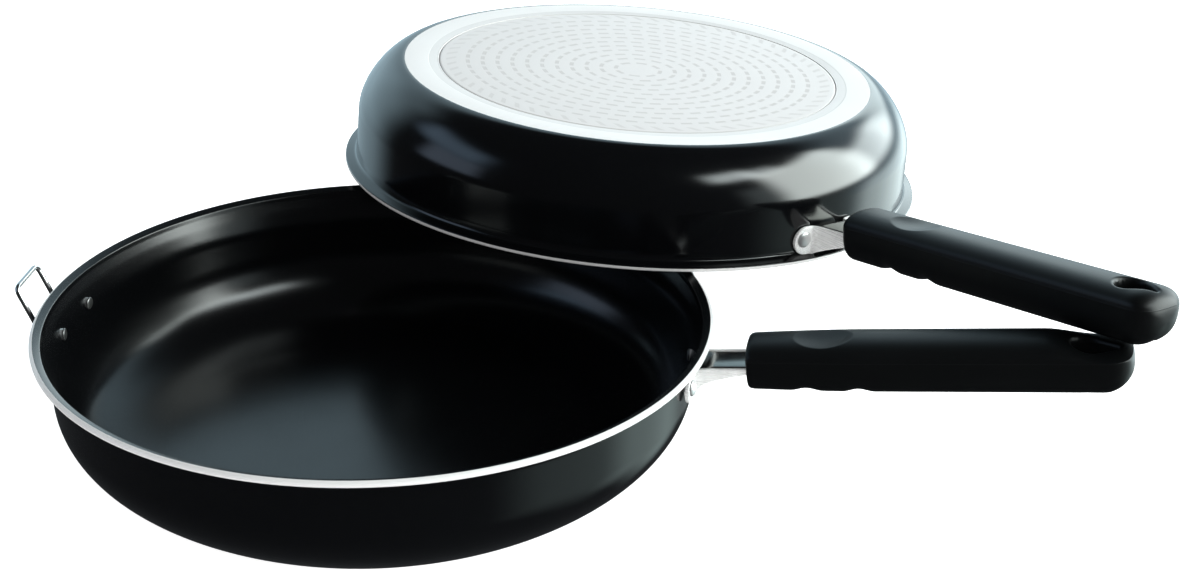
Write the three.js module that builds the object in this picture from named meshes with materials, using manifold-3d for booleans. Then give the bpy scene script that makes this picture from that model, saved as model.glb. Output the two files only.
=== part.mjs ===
// Double sided flip pan: two shallow pans that close on each other about a wire bail.
// Millimetres, +Z up. The lower pan stands on the origin with its handle along +X and its bail on -X.
// The upper pan lies upside down across the lower rim and its handle lies on the lower one.

import * as THREE from 'three';
import { mergeVertices } from 'three/addons/utils/BufferGeometryUtils.js';
import Module from 'manifold-3d';

const wasm = await Module();
wasm.setup();

// Fits
const fitGap = 0.3;
const wireGap = 0.35;
const cutOverrun = 3;
const weldDistance = 0.0001;

// Facets
const panFacets = 56;
const wrapFacets = 144;
const roundFacets = 14;
const shoulderSteps = 5;
const gripFacets = 28;
const gripEndSteps = 5;
const crownFallSteps = 3;
const samples = 720;
const acrossSteps = 6;

// Lower pan
const lowerRimRadius = 129;
const lowerRimReach = 6;
const lowerDepth = 56;
const lowerWallThickness = 3;
const lowerWallStart = 34;
const lowerShoulderReach = 31;
const lowerBaseThickness = 6.5;
const lowerFilletReach = 38;
const lowerDiscMargin = 14;
const lowerDiscThickness = 1;
const rimEdgeHeight = 3;
const rimEdgeRound = 1;
const rimLedgeDrop = 1.3;
const flareHeight = 5.8;
const flareStep = 1.8;
const flareShare = 0.25;
const lowerShoulder = { dropShare: 0.53, reachShare: 0.46, liftShare: 0.235 };
const lowerInnerShoulder = { dropShare: 0.58, reachShare: 0.66, liftShare: 0 };

const lowerWallRadius = lowerRimRadius - lowerRimReach;
const lowerBaseRadius = lowerWallRadius - lowerShoulderReach;
const lowerFloorRadius = lowerWallRadius - lowerWallThickness - lowerFilletReach;
const lowerDiscRadius = lowerBaseRadius - lowerDiscMargin;

// Upper pan, measured from its rim towards its base. Closed over the lower one, its rim lies inside that rim.
const rimDifference = 7.2;
const upperRimReach = 4.6;
const upperDepth = 45.4;
const upperWallThickness = 2.3;
const upperWallStart = 22;
const upperShoulderReach = 18.3;
const upperBaseThickness = 4;
const upperFilletReach = 22.9;
const upperDiscMargin = 14.7;
const upperDiscThickness = 0.6;
const lipHeight = 2;
const lipGroove = 3.6;
const upperShoulder = { dropShare: 0.43, reachShare: 0.44, liftShare: 0 };
const upperInnerShoulder = { dropShare: 0.46, reachShare: 0.52, liftShare: 0 };
const discEdgeBevel = 0.2;

const upperRimRadius = lowerRimRadius - rimDifference;
const upperWallRadius = upperRimRadius - upperRimReach;
const upperBaseRadius = upperWallRadius - upperShoulderReach;
const upperFloorRadius = upperWallRadius - upperWallThickness - upperFilletReach;
const upperDiscRadius = upperBaseRadius - upperDiscMargin;

// How the upper pan lies on the lower one
const spreadShare = 0.7365;
const upperAzimuth = 68.1;
const upperTilt = 6;
const upperTiltAzimuth = 51.6;
const upperHandleAzimuth = -38.5;

// Grips: the lower one has a neck, and its crown falls away where the upper one lies over it
const lowerGripLength = 141;
const upperGripLength = 149.6;
const gripWidth = 24;
const gripCrown = 5.5;
const gripBody = 15;
const gripCrownPower = 2.2;
const gripBodyPower = 2.8;
const lowerGrowthShare = 0.035;
const upperGrowthShare = 0.06;
const lowerNeckShare = 0.085;
const upperNeckShare = 0;
const neckLength = 40;
const neckPower = 1.5;
const lowerCrownFallShare = 0.8;
const upperCrownFallShare = 0;
const crownFallStart = 33;
const crownFallEnd = 9;
const gripFrontRound = 2.5;
const gripFrontShare = 0.9;
const gripEndRound = 11;
const gripEndShare = 0.34;
const dimplePlace = 28;
const dimpleLength = 22;
const dimpleWidth = 16;
const dimpleDepth = 1.6;
const dimpleBall = 4;
const scallopPlaces = [21.6, 40.8];
const scallopLength = 12.5;
const scallopDepth = 1.3;
const hangHoleSetback = 17;
const hangHoleRadius = 6.2;
const hangHoleTip = 11.5;

// Handle bracket
const strapWidth = 18;
const strapThickness = 2;
const strapDrop = 4;
const flangeThickness = 1.6;
const flangeHeight = 3.6;
const earMargin = 1.4;
const earHeight = 10;
const earThickness = 1.6;
const earRivetSpace = 0.8;
const tangWidth = 15;
const tangLength = 54;
const tangNotch = 8;
const lowerGripReach = 20.3;
const lowerGripHeight = -1.7;
const lowerGripRise = 5;
const upperGripReach = 18.8;
const upperGripHeight = 20.1;
const upperGripRise = 5.8;

// Grip screw
const screwRadius = 2.4;
const screwHeadRadius = 4;
const screwHeadHeight = 3;
const screwSeatDepth = 9;
const screwTipRun = 1;
const washerThickness = 1;
const washerRadius = 4.3;
const nutWidth = 8;
const nutThickness = 4;

// Rivets
const rivetRadius = 2.2;
const rivetHeadRadius = 3.6;
const rivetHeadHeight = 1.5;
const rivetDomeShare = 0.72;

const earRivetReach = strapWidth / 2 + rivetHeadRadius + earRivetSpace;
const earWidth = (earRivetReach + rivetHeadRadius + earMargin) * 2;

// Hinge bracket and wire bail
const hingeDrop = 11;
const hingePlateWidth = 38;
const hingePlateHeight = 9;
const hingePlateThickness = 1.5;
const hingeRivetReach = 14.4;
const barrelReach = 7.6;
const barrelWall = 0.95;
const barrelLength = 15;
const tongueThickness = 1.2;
const wireRadius = 1;
const bailWidth = 22;
const bailLength = 18;
const bailCorner = 3;
const bailRise = 65;

// Hook bracket on the upper pan
const hookPlateCentre = 9.6;
const hookArmHeight = 4.7;
const hookArmWidth = 16;
const hookThickness = 1.5;
const hookTongueHeight = 7.5;
const hookTongueGap = 2.5;

// Colours
const coating = { color: 0x1b1c1f, roughness: 0.35, metalness: 0.3 };
const steel = { color: 0xc9cacc, roughness: 0.22, metalness: 1 };
const discSteel = { color: 0xc4c6c9, roughness: 0.4, metalness: 0.9 };
const bakelite = { color: 0x151617, roughness: 0.5, metalness: 0 };
const aluminium = { color: 0xd9dadb, roughness: 0.3, metalness: 1 };

const radians = THREE.MathUtils.degToRad;
const alongX = new THREE.Matrix4().makeBasis(
  new THREE.Vector3(0, 1, 0),
  new THREE.Vector3(0, 0, 1),
  new THREE.Vector3(1, 0, 0),
);

// A closed three.js geometry as a solid, with merged corners and its faces pointing out
function solid(geometry) {
  const bare = geometry.clone();
  bare.deleteAttribute('normal');
  bare.deleteAttribute('uv');
  const merged = mergeVertices(bare, weldDistance);
  const corners = [];
  for (let i = 0; i < merged.index.count; i += 3) {
    const [a, b, c] = [0, 1, 2].map((k) => merged.index.getX(i + k));
    if (a !== b && b !== c && c !== a) corners.push([a, b, c]);
  }
  const make = (order) => new wasm.Manifold(new wasm.Mesh({
    numProp: 3,
    vertProperties: new Float32Array(merged.attributes.position.array),
    triVerts: new Uint32Array(corners.flatMap(order)),
  }));
  const body = make((corner) => corner);
  return body.volume() > 0 ? body : make(([a, b, c]) => [a, c, b]);
}

// A solid's surface as a three.js geometry
function surface(body) {
  const mesh = body.getMesh();
  const geometry = new THREE.BufferGeometry();
  const points = new Float32Array(mesh.vertProperties);
  geometry.setAttribute('position', new THREE.BufferAttribute(points, 3));
  geometry.setIndex(new THREE.BufferAttribute(new Uint32Array(mesh.triVerts), 1));
  const faces = geometry.toNonIndexed();
  faces.computeVertexNormals();
  return faces;
}

function piece(name, body, finish) {
  const mesh = new THREE.Mesh(surface(body), new THREE.MeshStandardMaterial(finish));
  mesh.name = name;
  return mesh;
}

// A profile of [radius, height] points turned about Z
function turned(profile, facets = roundFacets) {
  const points = profile.map(([radius, height]) => new THREE.Vector2(radius, height));
  return new THREE.LatheGeometry(points, facets).rotateX(Math.PI / 2);
}

// A cylinder along Z, from one height to another
function rod(radius, from, to, facets = roundFacets) {
  const geometry = new THREE.CylinderGeometry(radius, radius, to - from, facets).rotateX(Math.PI / 2);
  return geometry.translate(0, 0, (from + to) / 2);
}

// The same along X and along Y
function rodX(radius, from, to) {
  return rod(radius, from, to).applyMatrix4(alongX);
}

function rodY(radius, from, to, facets = roundFacets) {
  return rod(radius, from, to, facets).rotateX(-Math.PI / 2);
}

// A box between two corners
function block(low, high) {
  const size = high.map((value, i) => value - low[i]);
  const centre = high.map((value, i) => (value + low[i]) / 2);
  return new THREE.BoxGeometry(...size).translate(...centre);
}

// A flat outline, drawn across Y and up Z, carried along X
function prismX(shape, from, to) {
  const geometry = new THREE.ExtrudeGeometry(shape, { depth: to - from, bevelEnabled: false });
  return geometry.translate(0, 0, from).applyMatrix4(alongX);
}

// The curve from a straight wall into a base
function shoulder(wallRadius, wallHeight, baseRadius, baseHeight, shares) {
  const drop = (baseHeight - wallHeight) * shares.dropShare;
  const reach = (wallRadius - baseRadius) * shares.reachShare;
  const lift = (wallHeight - baseHeight) * shares.liftShare;
  const curve = new THREE.CubicBezierCurve(
    new THREE.Vector2(wallRadius, wallHeight),
    new THREE.Vector2(wallRadius, wallHeight + drop),
    new THREE.Vector2(baseRadius + reach, baseHeight + lift),
    new THREE.Vector2(baseRadius, baseHeight),
  );
  return curve.getPoints(shoulderSteps).map((point) => [point.x, point.y]);
}

// Round holes through a wall of revolution, square to it
function wallHoles(body, places, wallRadius) {
  let holed = body;
  for (const { azimuth, height, reach } of places) {
    for (const side of [-1, 1]) {
      const turn = radians(azimuth) + side * Math.asin(reach / wallRadius);
      const hole = rodX(rivetRadius + fitGap, wallRadius - rivetHeadRadius * 2, wallRadius + rivetHeadRadius);
      holed = holed.subtract(solid(hole.translate(0, 0, height).rotateZ(turn)));
    }
  }
  return holed;
}

// The lower pan's body, from the recess for its disc round the rim to the middle of the floor
function lowerShell(holes) {
  const crest = lowerDepth;
  const innerWall = lowerWallRadius - lowerWallThickness;
  const outer = shoulder(lowerWallRadius, lowerWallStart, lowerBaseRadius, 0, lowerShoulder).reverse();
  const inner = shoulder(innerWall, lowerWallStart, lowerFloorRadius, lowerBaseThickness, lowerInnerShoulder);
  const flareReach = (lowerRimRadius - lowerWallRadius) * flareShare;
  const profile = [
    [0, lowerDiscThickness + fitGap],
    [lowerDiscRadius + fitGap, lowerDiscThickness + fitGap],
    [lowerDiscRadius + fitGap, 0],
    ...outer,
    [lowerWallRadius, crest - flareHeight],
    [lowerWallRadius + flareReach, crest - flareHeight + flareStep],
    [lowerRimRadius - rimEdgeRound * 2, crest - rimEdgeHeight],
    [lowerRimRadius, crest - rimEdgeHeight + rimEdgeRound / 2],
    [lowerRimRadius, crest - rimEdgeRound],
    [lowerRimRadius - rimEdgeRound, crest],
    [innerWall + rimEdgeRound, crest - rimLedgeDrop],
    [innerWall, crest - rimEdgeHeight],
    ...inner,
    [0, lowerBaseThickness],
  ];
  return wallHoles(solid(turned(profile, panFacets)), holes, lowerWallRadius);
}

// The upper pan's body in its own frame: rim at zero, base above it
function upperShell(holes) {
  const innerWall = upperWallRadius - upperWallThickness;
  const floor = upperDepth - upperBaseThickness;
  const outer = shoulder(upperWallRadius, upperWallStart, upperBaseRadius, upperDepth, upperShoulder);
  const inner = shoulder(innerWall, upperWallStart, upperFloorRadius, floor, upperInnerShoulder).reverse();
  const recess = upperDepth - upperDiscThickness - fitGap;
  const profile = [
    [0, floor],
    ...inner,
    [innerWall, lipHeight],
    [upperWallRadius, 0],
    [upperRimRadius, 0],
    [upperRimRadius, lipHeight],
    [upperWallRadius, lipGroove],
    ...outer,
    [upperDiscRadius + fitGap, upperDepth],
    [upperDiscRadius + fitGap, recess],
    [0, recess],
  ];
  return wallHoles(solid(turned(profile, panFacets)), holes, upperWallRadius);
}

// An inlaid disc, with its outer face at zero and its body towards the pan
function inlaidDisc(radius, thickness) {
  const profile = [
    [0, 0],
    [radius - discEdgeBevel, 0],
    [radius, discEdgeBevel],
    [radius, thickness],
    [0, thickness],
  ];
  return solid(turned(profile, panFacets));
}

// A plate with round ends, wrapped on a wall and centred on +X
function wrappedPlate(wallRadius, width, height, thickness) {
  const inside = wallRadius + fitGap;
  const outside = inside + thickness;
  const shape = new THREE.Shape();
  const end = width / 2 - height / 2;
  shape.absarc(end, 0, height / 2, -Math.PI / 2, Math.PI / 2);
  shape.absarc(-end, 0, height / 2, Math.PI / 2, -Math.PI / 2);
  const ring = solid(rod(outside, -height, height, wrapFacets))
    .subtract(solid(rod(inside, -height - cutOverrun, height + cutOverrun, wrapFacets)));
  return ring.intersect(solid(prismX(shape, lowerBaseRadius, outside + cutOverrun)));
}

// A rivet along +X: a dome inside the wall, a shank through it and a dome outside the plate
function rivet(wallRadius, wallThickness, plateThickness) {
  const inside = wallRadius - wallThickness - fitGap;
  const outside = wallRadius + fitGap + plateThickness + fitGap;
  const shoulderRadius = rivetHeadRadius * rivetDomeShare;
  const shoulderHeight = rivetHeadHeight * rivetDomeShare;
  const profile = [
    [0, inside - rivetHeadHeight],
    [shoulderRadius, inside - shoulderHeight],
    [rivetHeadRadius, inside],
    [rivetRadius, inside],
    [rivetRadius, outside],
    [rivetHeadRadius, outside],
    [shoulderRadius, outside + shoulderHeight],
    [0, outside + rivetHeadHeight],
  ];
  return solid(turned(profile).applyMatrix4(alongX));
}

// Two rivets, one on each side of a plate's middle
function rivetPair(names, wallRadius, wallThickness, plateThickness, reach, height) {
  const group = new THREE.Group();
  names.forEach((name, i) => {
    const mesh = piece(name, rivet(wallRadius, wallThickness, plateThickness), steel);
    mesh.position.z = height;
    const holder = new THREE.Group();
    holder.rotation.z = (i === 0 ? 1 : -1) * Math.asin(reach / wallRadius);
    holder.add(mesh);
    group.add(holder);
  });
  return group;
}

// The grip's section across Y and Z: a low crown over a deeper body, widest at zero
function gripSection() {
  const points = [];
  for (let i = 0; i < gripFacets; i += 1) {
    const angle = (i / gripFacets) * Math.PI * 2;
    const [across, up] = [Math.cos(angle), Math.sin(angle)];
    const power = 2 / (up > 0 ? gripCrownPower : gripBodyPower);
    const height = up > 0 ? gripCrown : gripBody;
    const y = Math.sign(across) * Math.abs(across) ** power * (gripWidth / 2);
    const z = Math.sign(up) * Math.abs(up) ** power * height;
    points.push(new THREE.Vector2(y, z));
  }
  return new THREE.Shape(points);
}

// What differs between the two grips
const lowerGrip = {
  length: lowerGripLength, growth: lowerGrowthShare, neck: lowerNeckShare, crownFall: lowerCrownFallShare,
};
const upperGrip = {
  length: upperGripLength, growth: upperGrowthShare, neck: upperNeckShare, crownFall: upperCrownFallShare,
};

// The shares of the full section, and of the crown, that a grip has at a distance from its front
function sectionShare(model, at) {
  const before = Math.max(1 - at / gripFrontRound, 0);
  const past = Math.max(1 - (model.length - at) / gripEndRound, 0);
  const front = gripFrontShare + (1 - gripFrontShare) * Math.sqrt(1 - before ** 2);
  const end = gripEndShare + (1 - gripEndShare) * Math.sqrt(Math.max(1 - past ** 2, 0));
  const neck = 1 - model.neck * Math.max(1 - at / neckLength, 0) ** neckPower;
  return front * end * neck * (1 + model.growth * Math.min(at / (model.length - gripEndRound), 1));
}

function crownShare(model, at) {
  return 1 - model.crownFall * THREE.MathUtils.smoothstep(at, model.length - crownFallStart, model.length - crownFallEnd);
}

// The height of a grip's crown, or of its underside, at a place along and across it
function gripHeight(model, at, across, above) {
  const share = sectionShare(model, at);
  const [height, power] = above ? [gripCrown, gripCrownPower] : [-gripBody, gripBodyPower];
  const round = Math.max(1 - Math.abs(across / (share * gripWidth / 2)) ** power, 0) ** (1 / power);
  const middle = (gripCrown - gripBody) / 2;
  const up = middle + (height * round - middle) * share;
  return up > 0 ? up * crownShare(model, at) : up;
}

// The places along X at which a grip's section is drawn
function gripStations(model) {
  const stations = [];
  for (let k = 0; k <= 2; k += 1) stations.push(gripFrontRound * (1 - Math.cos((k / 2) * (Math.PI / 2))));
  stations.push(neckLength / 2, neckLength);
  const fallStart = model.length - crownFallStart;
  const fallRun = crownFallStart - gripEndRound;
  for (let k = 0; k < crownFallSteps; k += 1) stations.push(fallStart + (fallRun * k) / crownFallSteps);
  for (let k = 0; k <= gripEndSteps; k += 1) {
    stations.push(model.length - gripEndRound * (1 - Math.sin((k / gripEndSteps) * (Math.PI / 2))));
  }
  return stations;
}

function gripBlank(model) {
  const stations = gripStations(model);
  const steps = stations.length - 1;
  const geometry = new THREE.ExtrudeGeometry(gripSection(), { depth: steps, steps, bevelEnabled: false });
  const place = geometry.attributes.position;
  const middle = (gripCrown - gripBody) / 2;
  for (let i = 0; i < place.count; i += 1) {
    const at = stations[Math.round(place.getZ(i))];
    const share = sectionShare(model, at);
    const up = middle + (place.getY(i) - middle) * share;
    place.setXYZ(i, place.getX(i) * share, up > 0 ? up * crownShare(model, at) : up, at);
  }
  return solid(geometry.applyMatrix4(alongX));
}

// The pointed hanging hole, drawn from above
function hangingHole(length) {
  const centre = length - hangHoleSetback;
  const tangent = Math.acos(hangHoleRadius / hangHoleTip);
  const shape = new THREE.Shape();
  shape.moveTo(centre + hangHoleTip, 0);
  shape.lineTo(centre + hangHoleRadius * Math.cos(tangent), hangHoleRadius * Math.sin(tangent));
  shape.absarc(centre, 0, hangHoleRadius, tangent, Math.PI * 2 - tangent);
  shape.closePath();
  const depth = gripCrown + gripBody + cutOverrun * 2;
  const geometry = new THREE.ExtrudeGeometry(shape, { depth, bevelEnabled: false, curveSegments: roundFacets / 2 });
  return solid(geometry.translate(0, 0, -gripBody - cutOverrun));
}

const tangMiddle = -strapDrop - strapThickness / 2;
const nutStart = tangLength - tangNotch + screwTipRun * 2;
const seatEnd = (length) => length - hangHoleSetback;
const seatStart = (length) => seatEnd(length) - hangHoleRadius - screwSeatDepth;

// The hollows inside the grip: tang slot, nut pocket, screw bore and the seat of the screw's head
function gripHollows(length) {
  const slotWide = tangWidth / 2 + fitGap;
  const slotHigh = strapThickness / 2 + fitGap;
  const nutHigh = nutWidth / 2 + fitGap;
  const slot = solid(block(
    [-cutOverrun, -slotWide, tangMiddle - slotHigh],
    [tangLength + fitGap, slotWide, tangMiddle + slotHigh],
  ));
  const pocket = solid(block(
    [nutStart - fitGap, -nutHigh, tangMiddle - nutHigh],
    [nutStart + nutThickness + fitGap, nutHigh, tangMiddle + nutHigh],
  ));
  const boreStart = nutStart - screwTipRun - fitGap;
  const bore = solid(rodX(screwRadius + fitGap, boreStart, seatEnd(length)).translate(0, 0, tangMiddle));
  const seat = solid(rodX(washerRadius + fitGap, seatStart(length), seatEnd(length)).translate(0, 0, tangMiddle));
  return slot.add(pocket).add(bore).add(seat);
}

function grip(model) {
  const dimple = new THREE.SphereGeometry(1, gripFacets, roundFacets);
  const spread = 1 / Math.sqrt(1 - ((dimpleBall - dimpleDepth) / dimpleBall) ** 2);
  dimple.scale((dimpleLength / 2) * spread, (dimpleWidth / 2) * spread, dimpleBall);
  dimple.translate(dimplePlace, 0, gripCrown + dimpleBall - dimpleDepth);
  let body = gripBlank(model).subtract(solid(dimple));
  const scallopRadius = ((scallopLength / 2) ** 2 + scallopDepth ** 2) / (2 * scallopDepth);
  for (const place of scallopPlaces) {
    const cutter = rodY(scallopRadius, -gripWidth, gripWidth, gripFacets * 2);
    const below = -gripBody - scallopRadius + scallopDepth;
    body = body.subtract(solid(cutter.translate(place, 0, below)));
  }
  return body.subtract(hangingHole(model.length)).subtract(gripHollows(model.length));
}

// One side flange of the bracket: deep at the wall, shallow at the grip
function flange(side, from) {
  const shape = new THREE.Shape([
    new THREE.Vector2(from, 0),
    new THREE.Vector2(-fitGap, 0),
    new THREE.Vector2(-fitGap, -flangeHeight),
    new THREE.Vector2(from, -earHeight + flangeThickness),
  ]);
  const geometry = new THREE.ExtrudeGeometry(shape, { depth: flangeThickness, bevelEnabled: false });
  const inset = side > 0 ? strapWidth / 2 : -strapWidth / 2 + flangeThickness;
  return solid(geometry.rotateX(Math.PI / 2).translate(0, inset, -strapDrop));
}

// The bracket, in the pan's frame: wrapped ear plate, strap with its flanges, and the notched tang
function bracket(wallRadius, front, height, rise) {
  const place = new THREE.Matrix4().makeRotationY(-radians(rise)).setPosition(front, 0, height);
  const root = wallRadius + fitGap + earThickness / 2 - front;
  const top = -strapDrop;
  const strap = solid(block([root, -strapWidth / 2, top - strapThickness], [-fitGap, strapWidth / 2, top]));
  const tang = solid(block(
    [-cutOverrun, -tangWidth / 2, top - strapThickness],
    [tangLength, tangWidth / 2, top],
  ));
  const notchWide = nutWidth / 2 + fitGap;
  const notch = solid(block(
    [tangLength - tangNotch, -notchWide, top - nutWidth],
    [tangLength + cutOverrun, notchWide, top + nutWidth],
  ));
  const beam = strap.add(flange(1, root)).add(flange(-1, root)).add(tang).subtract(notch);
  const tilted = beam.transform(place.elements.slice());
  const ears = wrappedPlate(wallRadius, earWidth, earHeight, earThickness);
  const plate = wallHoles(ears, [{ azimuth: 0, height: 0, reach: earRivetReach }], wallRadius);
  const shift = earMiddle(wallRadius, front, height, rise);
  const within = solid(rod(wallRadius + fitGap, height - gripBody * 2, height + gripBody * 2, wrapFacets));
  return tilted.subtract(within).add(plate.translate([0, 0, shift]));
}

// The height of the ear plate's middle: its top edge is level with the strap's top at the wall
function earMiddle(wallRadius, front, height, rise) {
  const strapTop = height - strapDrop - Math.tan(radians(rise)) * (front - wallRadius);
  return strapTop - earHeight / 2;
}

// A nut across the tang's notch, and the washer and screw that pull the grip on
function nut() {
  const shape = new THREE.Shape([
    new THREE.Vector2(-nutWidth / 2, -nutWidth / 2),
    new THREE.Vector2(nutWidth / 2, -nutWidth / 2),
    new THREE.Vector2(nutWidth / 2, nutWidth / 2),
    new THREE.Vector2(-nutWidth / 2, nutWidth / 2),
  ]);
  const body = solid(prismX(shape, 0, nutThickness));
  return body.subtract(solid(rodX(screwRadius + fitGap, -cutOverrun, nutThickness + cutOverrun)));
}

function washer() {
  const body = solid(rodX(washerRadius, 0, washerThickness));
  return body.subtract(solid(rodX(screwRadius + fitGap, -cutOverrun, washerThickness + cutOverrun)));
}

function screw(length) {
  const tip = nutStart - screwTipRun;
  const head = seatStart(length) + fitGap * 2 + washerThickness;
  const body = solid(rodX(screwRadius, tip, head + screwHeadHeight / 2));
  return body.add(solid(rodX(screwHeadRadius, head, head + screwHeadHeight)));
}

// Everything on one handle, along +X in its pan's frame
function handle(prefix, model, wallRadius, wallThickness, front, height, rise, azimuth) {
  const group = new THREE.Group();
  group.rotation.z = radians(azimuth);
  const names = [`${prefix}_bracket_rivet_left`, `${prefix}_bracket_rivet_right`];
  const rivetHeight = earMiddle(wallRadius, front, height, rise);
  group.add(piece(`${prefix}_handle_bracket`, bracket(wallRadius, front, height, rise), steel));
  group.add(rivetPair(names, wallRadius, wallThickness, earThickness, earRivetReach, rivetHeight));
  const axis = new THREE.Group();
  axis.position.set(front, 0, height);
  axis.rotation.y = -radians(rise);
  axis.add(piece(`${prefix}_handle_grip`, grip(model), bakelite));
  const screwPiece = piece(`${prefix}_handle_screw`, screw(model.length), steel);
  const washerPiece = piece(`${prefix}_screw_washer`, washer(), steel);
  const nutPiece = piece(`${prefix}_screw_nut`, nut(), steel);
  screwPiece.position.z = tangMiddle;
  washerPiece.position.set(seatStart(model.length) + fitGap, 0, tangMiddle);
  nutPiece.position.set(nutStart, 0, tangMiddle);
  axis.add(screwPiece, washerPiece, nutPiece);
  group.add(axis);
  return { group, axis, rivetHeight };
}

// A small riveted plate for the hinge and the hook
function smallPlate(wallRadius) {
  const plate = wrappedPlate(wallRadius, hingePlateWidth, hingePlateHeight, hingePlateThickness);
  return wallHoles(plate, [{ azimuth: 0, height: 0, reach: hingeRivetReach }], wallRadius);
}

// The hinge plate with its rolled barrel, along +X in the hinge's frame
function hingeBracket(axisRadius) {
  const plate = smallPlate(lowerWallRadius);
  const barrelRadius = wireRadius + wireGap + barrelWall;
  const half = barrelLength / 2;
  const barrel = solid(rodY(barrelRadius, -half, half).translate(axisRadius, 0, 0));
  const tongueRoot = lowerWallRadius + fitGap + hingePlateThickness / 2;
  const tongue = solid(block(
    [tongueRoot, -half, -barrelRadius],
    [axisRadius, half, -barrelRadius + tongueThickness],
  ));
  const bore = solid(rodY(wireRadius + wireGap, -half - cutOverrun, half + cutOverrun).translate(axisRadius, 0, 0));
  return plate.add(barrel).add(tongue).subtract(bore);
}

// The bail: a closed loop of straight wires with round joints, from its axle along Y out along +X
function bail() {
  const half = bailWidth / 2;
  const corners = [
    [0, -half],
    [0, half],
    [bailLength - bailCorner, half],
    [bailLength, half - bailCorner],
    [bailLength, -half + bailCorner],
    [bailLength - bailCorner, -half],
  ].map(([x, y]) => new THREE.Vector3(x, y, 0));
  const up = new THREE.Vector3(0, 0, 1);
  let body = null;
  corners.forEach((corner, i) => {
    const next = corners[(i + 1) % corners.length];
    const way = next.clone().sub(corner);
    const turn = new THREE.Quaternion().setFromUnitVectors(up, way.clone().normalize());
    const wire = rod(wireRadius, 0, way.length()).applyQuaternion(turn);
    const joint = new THREE.SphereGeometry(wireRadius, roundFacets, roundFacets / 2);
    const part = solid(wire.translate(...corner)).add(solid(joint.translate(...corner)));
    body = body ? body.add(part) : part;
  });
  return body;
}

// The hook that the bail catches: a plate on the wall, an arm over the lip and a tongue turned up
function hookBracket(tongueRadius) {
  const plate = smallPlate(upperWallRadius);
  const half = hookArmWidth / 2;
  const armRoot = upperWallRadius + fitGap + hingePlateThickness / 2;
  const arm = solid(block(
    [armRoot, -half, hookArmHeight],
    [tongueRadius + hookThickness, half, hookArmHeight + hookThickness],
  ));
  const tongue = solid(block(
    [tongueRadius, -half, hookArmHeight],
    [tongueRadius + hookThickness, half, hookArmHeight + hookTongueHeight],
  ));
  return plate.translate([0, 0, hookPlateCentre]).add(arm).add(tongue);
}

const lowerGripFront = lowerWallRadius + lowerGripReach;
const upperGripFront = upperWallRadius + upperGripReach;
const lowerHandleHeight = lowerDepth + lowerGripHeight;
const hingeHeight = lowerDepth - hingeDrop;
const bailAxisRadius = lowerWallRadius + barrelReach;

const lowerHandle = handle(
  'lower', lowerGrip, lowerWallRadius, lowerWallThickness, lowerGripFront, lowerHandleHeight, lowerGripRise, 0,
);
const upperHandle = handle(
  'upper', upperGrip, upperWallRadius, upperWallThickness, upperGripFront, upperGripHeight, upperGripRise, upperHandleAzimuth,
);

const lowerPan = new THREE.Group();
lowerPan.add(piece('lower_pan_shell', lowerShell([
  { azimuth: 0, height: lowerHandle.rivetHeight, reach: earRivetReach },
  { azimuth: 180, height: hingeHeight, reach: hingeRivetReach },
]), coating));
lowerPan.add(piece('lower_induction_disc', inlaidDisc(lowerDiscRadius, lowerDiscThickness), discSteel));
lowerPan.add(lowerHandle.group);

const hinge = new THREE.Group();
hinge.rotation.z = Math.PI;
const hingePiece = piece('hinge_bracket', hingeBracket(bailAxisRadius), steel);
hingePiece.position.z = hingeHeight;
const bailPiece = piece('wire_bail', bail(), aluminium);
bailPiece.position.set(bailAxisRadius, 0, hingeHeight);
bailPiece.rotation.y = -radians(bailRise);
hinge.add(hingePiece, bailPiece);
hinge.add(rivetPair(
  ['hinge_rivet_left', 'hinge_rivet_right'],
  lowerWallRadius, lowerWallThickness, hingePlateThickness, hingeRivetReach, hingeHeight,
));
lowerPan.add(hinge);

const upperPan = new THREE.Group();
upperPan.add(piece('upper_pan_shell', upperShell([
  { azimuth: upperHandleAzimuth, height: upperHandle.rivetHeight, reach: earRivetReach },
  { azimuth: upperHandleAzimuth + 180, height: hookPlateCentre, reach: hingeRivetReach },
]), coating));
const upperDisc = piece('upper_induction_disc', inlaidDisc(upperDiscRadius, upperDiscThickness), discSteel);
upperDisc.rotation.x = Math.PI;
upperDisc.position.z = upperDepth;
upperPan.add(upperDisc);
upperPan.add(upperHandle.group);

const hook = new THREE.Group();
hook.rotation.z = radians(upperHandleAzimuth) + Math.PI;
hook.add(piece('hook_bracket', hookBracket(bailAxisRadius + wireRadius + hookTongueGap), steel));
hook.add(rivetPair(
  ['hook_rivet_left', 'hook_rivet_right'],
  upperWallRadius, upperWallThickness, hingePlateThickness, hingeRivetReach, hookPlateCentre,
));
upperPan.add(hook);

// The upper pan's place: turned over, leaning a little, with its rim and its grip above the lower ones
const spread = spreadShare * (lowerRimRadius + upperRimRadius);
const lean = new THREE.Vector3(
  Math.cos(radians(upperTiltAzimuth)), Math.sin(radians(upperTiltAzimuth)), 0,
);
upperPan.position.set(spread * Math.cos(radians(upperAzimuth)), spread * Math.sin(radians(upperAzimuth)), 0);
upperPan.quaternion.setFromAxisAngle(new THREE.Vector3(-lean.y, lean.x, 0), radians(upperTilt));

// The height at which the upper rim just clears the lower pan's crest
function rimRestHeight() {
  const slope = Math.tan(radians(upperTilt));
  const lip = upperRimRadius - upperWallRadius + fitGap;
  let height = 0;
  for (let i = 0; i < samples; i += 1) {
    const turn = (i / samples) * Math.PI * 2;
    const crest = new THREE.Vector3(Math.cos(turn), Math.sin(turn), 0);
    const offset = crest.multiplyScalar(lowerRimRadius).sub(upperPan.position);
    const onLip = Math.abs(offset.length() - upperRimRadius + lip / 2) < lip / 2 + fitGap;
    if (onLip) height = Math.max(height, lowerDepth + slope * offset.dot(lean));
  }
  return height + fitGap;
}

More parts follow.
